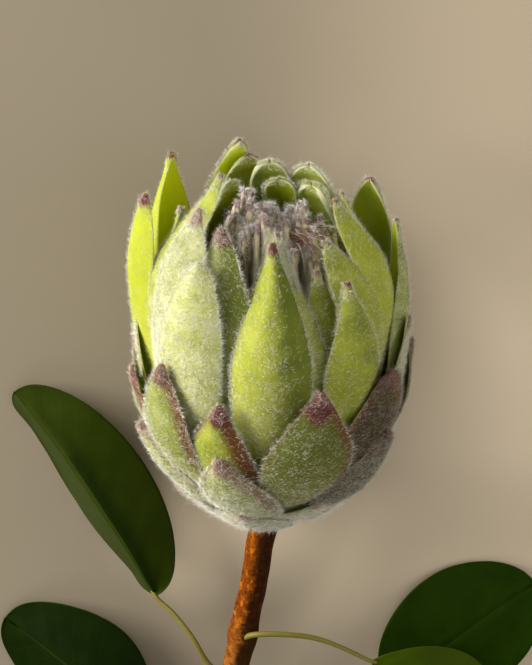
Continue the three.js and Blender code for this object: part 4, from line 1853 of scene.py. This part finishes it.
    def styles(self, finish: bpy.types.Material) -> list[bpy.types.Object]:
        """Lay a few long reddish styles that curve out to the front right.

        Args:
            finish: Their material.

        Returns:
            The pieces.
        """
        rng = self.rng
        hairs = Hairs("floret_styles", "florets", Slot.FLORET, cuts=5, most=4000)
        count = self.style_count
        azimuth = np.radians(rng.normal(*self.style_heading, count))
        reach = rng.uniform(4, 16, count)
        roots = stacked(reach * np.sin(azimuth), -reach * np.cos(azimuth), rng.uniform(99, 104, count))
        out = stacked(np.sin(azimuth), -np.cos(azimuth), 0.0)
        ways = unit(out + np.array([0.0, 0.0, 0.30]) + rng.normal(0, 0.24, (count, 3)))
        bows = np.array([0.0, 0.0, -0.75]) + rng.normal(0, 0.20, (count, 3))
        faded = (rng.random((count, 1)) > 0.5) * 0.9
        tints = mix(np.array(self.style_red), np.array(self.style_pale), faded)
        lengths = rng.uniform(9, 16, count)
        widths = rng.uniform(0.28, 0.45, count)
        roots, ways, bows = self.cup.laid(roots), self.cup.turned(ways), self.cup.turned(bows)
        hairs.add(roots, ways, bows, lengths, widths, tints)
        return hairs.build(finish)


# ---------------------------------------------------------------- stem and leaves


@dataclass
class Stem:
    """The stem from inside the bud to its cut end, with a swelling at each leaf."""

    cup: Cup
    radius: float = 4.6
    swelling_height: float = 0.7
    swelling_reach: float = 4
    route: tuple[Place, ...] = (
        (-2.7, -58.8, 31), (-5.1, -74.5, 27.6), (-8.1, -90.6, 24.2), (-11.2, -106.8, 20.9),
        (-15.4, -128, 16.7), (-20.4, -153, 11.8), (-27.5, -190, 4.42),
    )
    nodes_y: tuple[float, ...] = (-97, -117, -137, -153)
    sides: int = 40
    rings: int = 190

    def build(self) -> list[bpy.types.Object]:
        """Make the stem as one ring-cut tube along its route.

        Returns:
            The piece.
        """
        ends = self.cup.laid(np.array([[0.0, 0.0, 4.0], [0.0, 0.0, 0.0]]))
        route = Route((*map(tuple, ends), *self.route))
        bm, place = ring_tube(self.sides, self.rings)
        angle, share, out = place.T
        middle, way = route.at(share)
        swelling = sum(np.exp(-(((middle[:, 1] - y) / self.swelling_reach) ** 2)) for y in self.nodes_y)
        length = route.length()
        run = share * length
        ridge = 0.10 * np.sin(5 * angle + 0.05 * run) + 0.07 * np.sin(9 * angle - 0.11 * run + 1)
        lump = 0.12 * np.sin(0.42 * run + 2 * angle) * np.sin(0.13 * run + angle)
        grown = (self.radius - 0.1 + self.swelling_height * swelling + ridge + lump) * out
        points = round_line(middle, way, angle, grown)
        points[:, 2] = np.maximum(points[:, 2], 0.0)
        cut = (share > 0.9999) * (out < 0.97)
        grain = stacked(angle * self.radius / MM_IN_CM, run / MM_IN_CM)
        attributes = {"shape": stacked(share, cut * 1.0, out, 0 * out)}
        piece = finished("stem_bark", bm, Shape(points * MM, grain, attributes), StemFinish().material())
        return [seat(piece, "stem")]


@dataclass(frozen=True)
class Leaf:
    """A leaf: the route of its stalk, its midrib, its width and how its halves drop. Millimetres."""

    name: str
    petiole: tuple[Place, ...]
    rib: tuple[Place, ...]
    width: float
    folds: tuple[float, float]  # degrees that its left and right halves drop
    finish: LeafFinish
    thick: float = 0.75
    heels: tuple[float, float] = (0.82, 0.82)  # how pinched its halves are at the stalk
    stalk_radius: float = 0.78
    stalk_lap: float = 4.0  # how far the stalk runs on under the blade
    stalk_sink: float = 1.3
    blade_faces: tuple[int, int] = (44, 64)
    stalk_faces: tuple[int, int] = (12, 60)

    def build(self, stalk_finish: bpy.types.Material) -> list[bpy.types.Object]:
        """Make the blade and its stalk."""
        pieces = [self.blade(self.finish.material()), self.stalk(stalk_finish)]
        return [seat(piece, self.name) for piece in pieces]

    def surface(self, u: Array, t: Array) -> Array:
        """Points of the blade's middle surface.

        Args:
            u: Places across, from -1 to 1.
            t: Places along, from 0 to 1.

        Returns:
            The points.
        """
        centre, along = Route(self.rib).at(t)
        side = unit(np.cross(along, UP))
        up = np.cross(side, along)
        arch = np.sin(math.pi * np.clip(t, 0, 1) ** 0.98)
        full = mix(np.where(u > 0, self.heels[1], self.heels[0]), 0.45, t)
        half = np.maximum(LEAST_HALF_WIDTH, self.width / 2 * np.maximum(arch, 0) ** full)
        share = smooth(np.minimum(0.4 + 5 * t, 3 * (1.2 - t)))
        left = u < 0
        fold = np.radians(np.where(left, *self.folds)) * share
        wave = 0.035 * self.width * np.sin(7 * t + np.where(left, 0, 2)) * u * u
        crease = 0.7 * (1 - np.exp(-((u / 0.05) ** 2))) * smooth(t * 8)
        ripple = 0.07 * np.sin(46 * t - np.abs(u) * 9) * smooth(np.abs(u) * 4) * (1 - u * u)
        rise = wave - np.abs(u) * half * np.sin(fold) + crease - 0.7 + ripple
        return centre + side * (u * half * np.cos(fold))[:, None] + up * rise[:, None]

    def blade(self, finish: bpy.types.Material) -> bpy.types.Object:
        """Make the blade from a two-sided sheet.

        Args:
            finish: Its material.

        Returns:
            The piece.
        """
        bm, place = grid_sheet(*self.blade_faces)
        u, t, side = place.T
        u = np.sign(u) * np.abs(u) ** 1.15
        t = (1 - np.cos(t * math.pi)) / 2
        step = 1e-3
        across = self.surface(np.minimum(u + step, 1), t) - self.surface(np.maximum(u - step, -1), t)
        along = self.surface(u, np.minimum(t + step, 1)) - self.surface(u, np.maximum(t - step, 0))
        out = unit(np.cross(across, along))
        out = out * np.where(out[:, 2:] < 0, -1.0, 1.0)
        midrib = 0.5 * np.exp(-((u / 0.05) ** 2)) * (1 - t)
        thick = self.thick * (1 - 0.55 * np.abs(u) ** 6) + midrib
        points = self.surface(u, t) + out * (thick * (side - 0.5))[:, None]
        points[:, 2] = np.maximum(points[:, 2], np.where(side > 0.5, 0.4, 0.0))
        length = Route(self.rib).length()
        grain = stacked(u * self.width / 2 / MM_IN_CM, t * length / MM_IN_CM)
        attributes = {"shape": stacked(t, np.abs(u), 1 - side, (u > 0) * 1.0)}
        return finished(f"{self.name}_blade", bm, Shape(points * MM, grain, attributes), finish)

    def stalk(self, finish: bpy.types.Material) -> bpy.types.Object:
        """Make the stalk as a tube that runs on under the blade as its midrib.

        Args:
            finish: Its material.

        Returns:
            The piece.
        """
        bm, place = ring_tube(*self.stalk_faces)
        angle, share, out = place.T
        route = Route((*self.petiole, self.rib[1]))
        end = (Route(self.petiole).length() + self.stalk_lap) / route.length()
        share = share * end
        middle, way = route.at(share)
        girth = self.stalk_radius * (1.35 - 0.6 * share) * smooth(0.35 + 9 * share)
        grown = girth * out * (1 + 0.06 * np.sin(3 * angle + 9 * share))
        points = round_line(middle, way, angle, grown)
        sink = self.stalk_sink * smooth((share - end + 0.08) / 0.08)
        points[:, 2] = np.maximum(points[:, 2] - sink, 0.05)
        grain = stacked(angle * self.stalk_radius / MM_IN_CM, share * route.length() / MM_IN_CM)
        return finished(f"{self.name}_stalk", bm, Shape(points * MM, grain), finish)


DEEP_LEAF = LeafFinish(
    "leaf_deep", top=(0.002, 0.006, 0.0), lit=(0.005, 0.013, 0.0), under=(0.05, 0.075, 0.02),
    vein=(0.05, 0.08, 0.012),
)
DARK_LEAF = LeafFinish(
    "leaf_dark", top=(0.006, 0.018, 0.0), lit=(0.014, 0.036, 0.0), under=(0.05, 0.075, 0.02),
    vein=(0.05, 0.08, 0.012),
)
# leaf_mid has painted light on its left half and painted shade in the fold right of its midrib
MID_LEAF = LeafFinish(
    "leaf_mid", top=(0.011, 0.019, 0.0), lit=(0.020, 0.032, 0.001), under=(0.06, 0.085, 0.02),
    vein=(0.06, 0.085, 0.015), left=(0.030, 0.042, 0.010), crease_shade=0.9,
)
LIGHT_LEAF = LeafFinish(
    "leaf_light", top=(0.026, 0.046, 0.0), lit=(0.045, 0.075, 0.001), under=(0.10, 0.13, 0.03),
    vein=(0.09, 0.12, 0.02),
)

LEAVES = (
    Leaf(
        "leaf_upper_left",
        petiole=(
            (-13.5, -118, 18.7), (-21.6, -108.6, 20), (-26.7, -99.0, 21), (-32.6, -91.4, 20),
            (-39, -85.6, 18),
        ),
        rib=((-39, -85.6, 18), (-48.1, -67.9, 20), (-56.3, -54.9, 19), (-69.7, -35.9, 14), (-86, -17.9, 5)),
        width=40,
        folds=(60, 14),
        finish=MID_LEAF,
        heels=(0.9, 0.42),
    ),
    Leaf(
        "leaf_lower_left",
        petiole=((-20.5, -153, 12), (-28, -148, 14), (-35, -142, 14.8), (-41.5, -137.2, 14)),
        rib=(
            (-41.5, -137.2, 14), (-52.3, -126.6, 15.5), (-63.8, -117.2, 14.5), (-76.4, -108.4, 10),
            (-91.5, -99.0, 3),
        ),
        width=42,
        folds=(18, 12),
        finish=DEEP_LEAF,
    ),
    Leaf(
        "leaf_upper_right",
        petiole=(
            (-10.6, -99.2, 24), (-5.6, -95, 30), (4.7, -94.6, 30.6), (16.4, -97.4, 28), (34.1, -106.5, 25),
        ),
        rib=(
            (34.1, -106.5, 25), (45.5, -112.2, 24.5), (57.6, -120.2, 21), (70.2, -130.8, 13.5),
            (81.7, -142.4, 4.5),
        ),
        width=34,
        folds=(30, 24),
        finish=LIGHT_LEAF,
    ),
    Leaf(
        "leaf_lower_right",
        petiole=((-17, -137, 15), (0, -133, 14), (20, -129.4, 8), (41.4, -124.4, 4)),
        rib=(
            (41.4, -124.4, 4), (53.6, -114.3, 5.5), (65.9, -104.3, 5.8), (78.3, -95.4, 4.6), (91, -86.7, 1.8),
        ),
        width=46,
        folds=(6, 8),
        finish=DARK_LEAF,
        heels=(0.45, 0.45),
    ),
)


# ---------------------------------------------------------------- studio


@dataclass(frozen=True)
class Lamp:
    """A soft square lamp: where it hangs from the middle of the scene, its side, watts and colour."""

    name: str
    place: Place
    size: float
    power: float
    colour: Colour = (1.0, 0.96, 0.9)


@dataclass(frozen=True)
class Studio:
    """The pale floor, the soft lights and the camera."""

    cup: Cup
    middle: Place = (0.0, 0.01, 0.04)
    lamps: tuple[Lamp, ...] = (
        Lamp("key", (-0.80, 0.26, 0.26), 0.6, 17.4, (1.0, 0.96, 0.88)),
        Lamp("fill", (0.25, 0.10, 0.90), 0.8, 2.3),
        Lamp("side", (0.55, -0.02, 0.20), 0.35, 1.3, (1.0, 0.95, 0.88)),
        Lamp("mouth", (-0.30, 0.60, 0.50), 0.3, 1.2),
        Lamp("foot", (-0.35, -0.55, 0.35), 0.4, 0.9),
    )
    air: Colour = (1.0, 0.96, 0.9)
    air_strength: float = 0.13
    floor_half: float = 4.0
    tilt: float = math.radians(13)
    distance: float = 0.700
    aim_height: float = 62.0
    aim_shift: tuple[float, float] = (-1.6, 3.4)
    sensor: float = 36.0
    pixel_focal: float = 700 / 0.316  # pixels: 0.316 mm a pixel at 700 mm
    frame_height: float = 665.0

    def build(self) -> None:
        """Set up the floor, the lights, the world and the camera."""
        self.floor()
        self.camera()
        for lamp in self.lamps:
            self.hang(lamp)
        world = bpy.data.worlds.new("soft_room")
        world.use_nodes = True
        background = world.node_tree.nodes["Background"]
        background.inputs["Color"].default_value = (*self.air, 1.0)
        background.inputs["Strength"].default_value = self.air_strength
        scene = bpy.context.scene
        scene.world = world
        scene.view_settings.view_transform = "Standard"

    def floor(self) -> None:
        """Lay a wide plain floor under the flower."""
        bm = bmesh.new()
        bmesh.ops.create_grid(bm, x_segments=1, y_segments=1, size=self.floor_half)
        mesh = bpy.data.meshes.new("floor")
        bm.to_mesh(mesh)
        bm.free()
        mesh.materials.append(FloorFinish().material())
        floor = bpy.data.objects.new("floor", mesh)
        bpy.context.scene.collection.objects.link(floor)

    def camera(self) -> None:
        """Look down on the lying bud as the photograph looks at it."""
        back = Vector((0.0, math.sin(self.tilt), math.cos(self.tilt)))
        up = Vector((0.0, math.cos(self.tilt), -math.sin(self.tilt)))
        right = Vector((1.0, 0.0, 0.0))
        centre = self.cup.laid(np.array([0.0, 0.0, self.aim_height])) * MM
        target = Vector(centre) + right * self.aim_shift[0] * MM + up * self.aim_shift[1] * MM
        data = bpy.data.cameras.new("view")
        data.sensor_width = self.sensor
        data.lens = self.pixel_focal * self.sensor / self.frame_height
        data.clip_end = 20.0
        camera = bpy.data.objects.new("view", data)
        turn = Matrix((right, up, back)).transposed().to_4x4()
        camera.matrix_world = Matrix.Translation(target + back * self.distance) @ turn
        bpy.context.scene.collection.objects.link(camera)
        bpy.context.scene.camera = camera

    def hang(self, lamp: Lamp) -> None:
        """Hang one lamp, which faces the middle of the scene.

        Args:
            lamp: The lamp.
        """
        data = bpy.data.lights.new(lamp.name, "AREA")
        data.shape = "SQUARE"
        data.size = lamp.size
        data.energy = lamp.power
        data.color = lamp.colour
        aim = Vector(self.middle)
        place = aim + Vector(lamp.place)
        hung = bpy.data.objects.new(lamp.name, data)
        hung.location = place
        hung.rotation_euler = (aim - place).to_track_quat("-Z", "Y").to_euler()
        bpy.context.scene.collection.objects.link(hung)


def report(pieces: Sequence[bpy.types.Object]) -> None:
    """Log each piece with its number of triangles.

    Args:
        pieces: The pieces.
    """
    for piece in pieces:
        triangles = sum(len(face.vertices) - 2 for face in piece.data.polygons)
        log.info("%s: %d triangles", piece.name, triangles)


def main() -> None:
    """Build the flower and its studio."""
    logging.basicConfig(level=logging.INFO, format="%(message)s")
    cup = CUP
    Studio(cup).build()
    bracts = BractCup(cup).build()
    report(bracts)
    report(BractFuzz(cup, bracts).build())
    report(Florets(cup).build())
    report(Stem(cup).build())
    stalk = StalkFinish().material()
    for leaf in LEAVES:
        report(leaf.build(stalk))


if __name__ == "__main__":
    main()
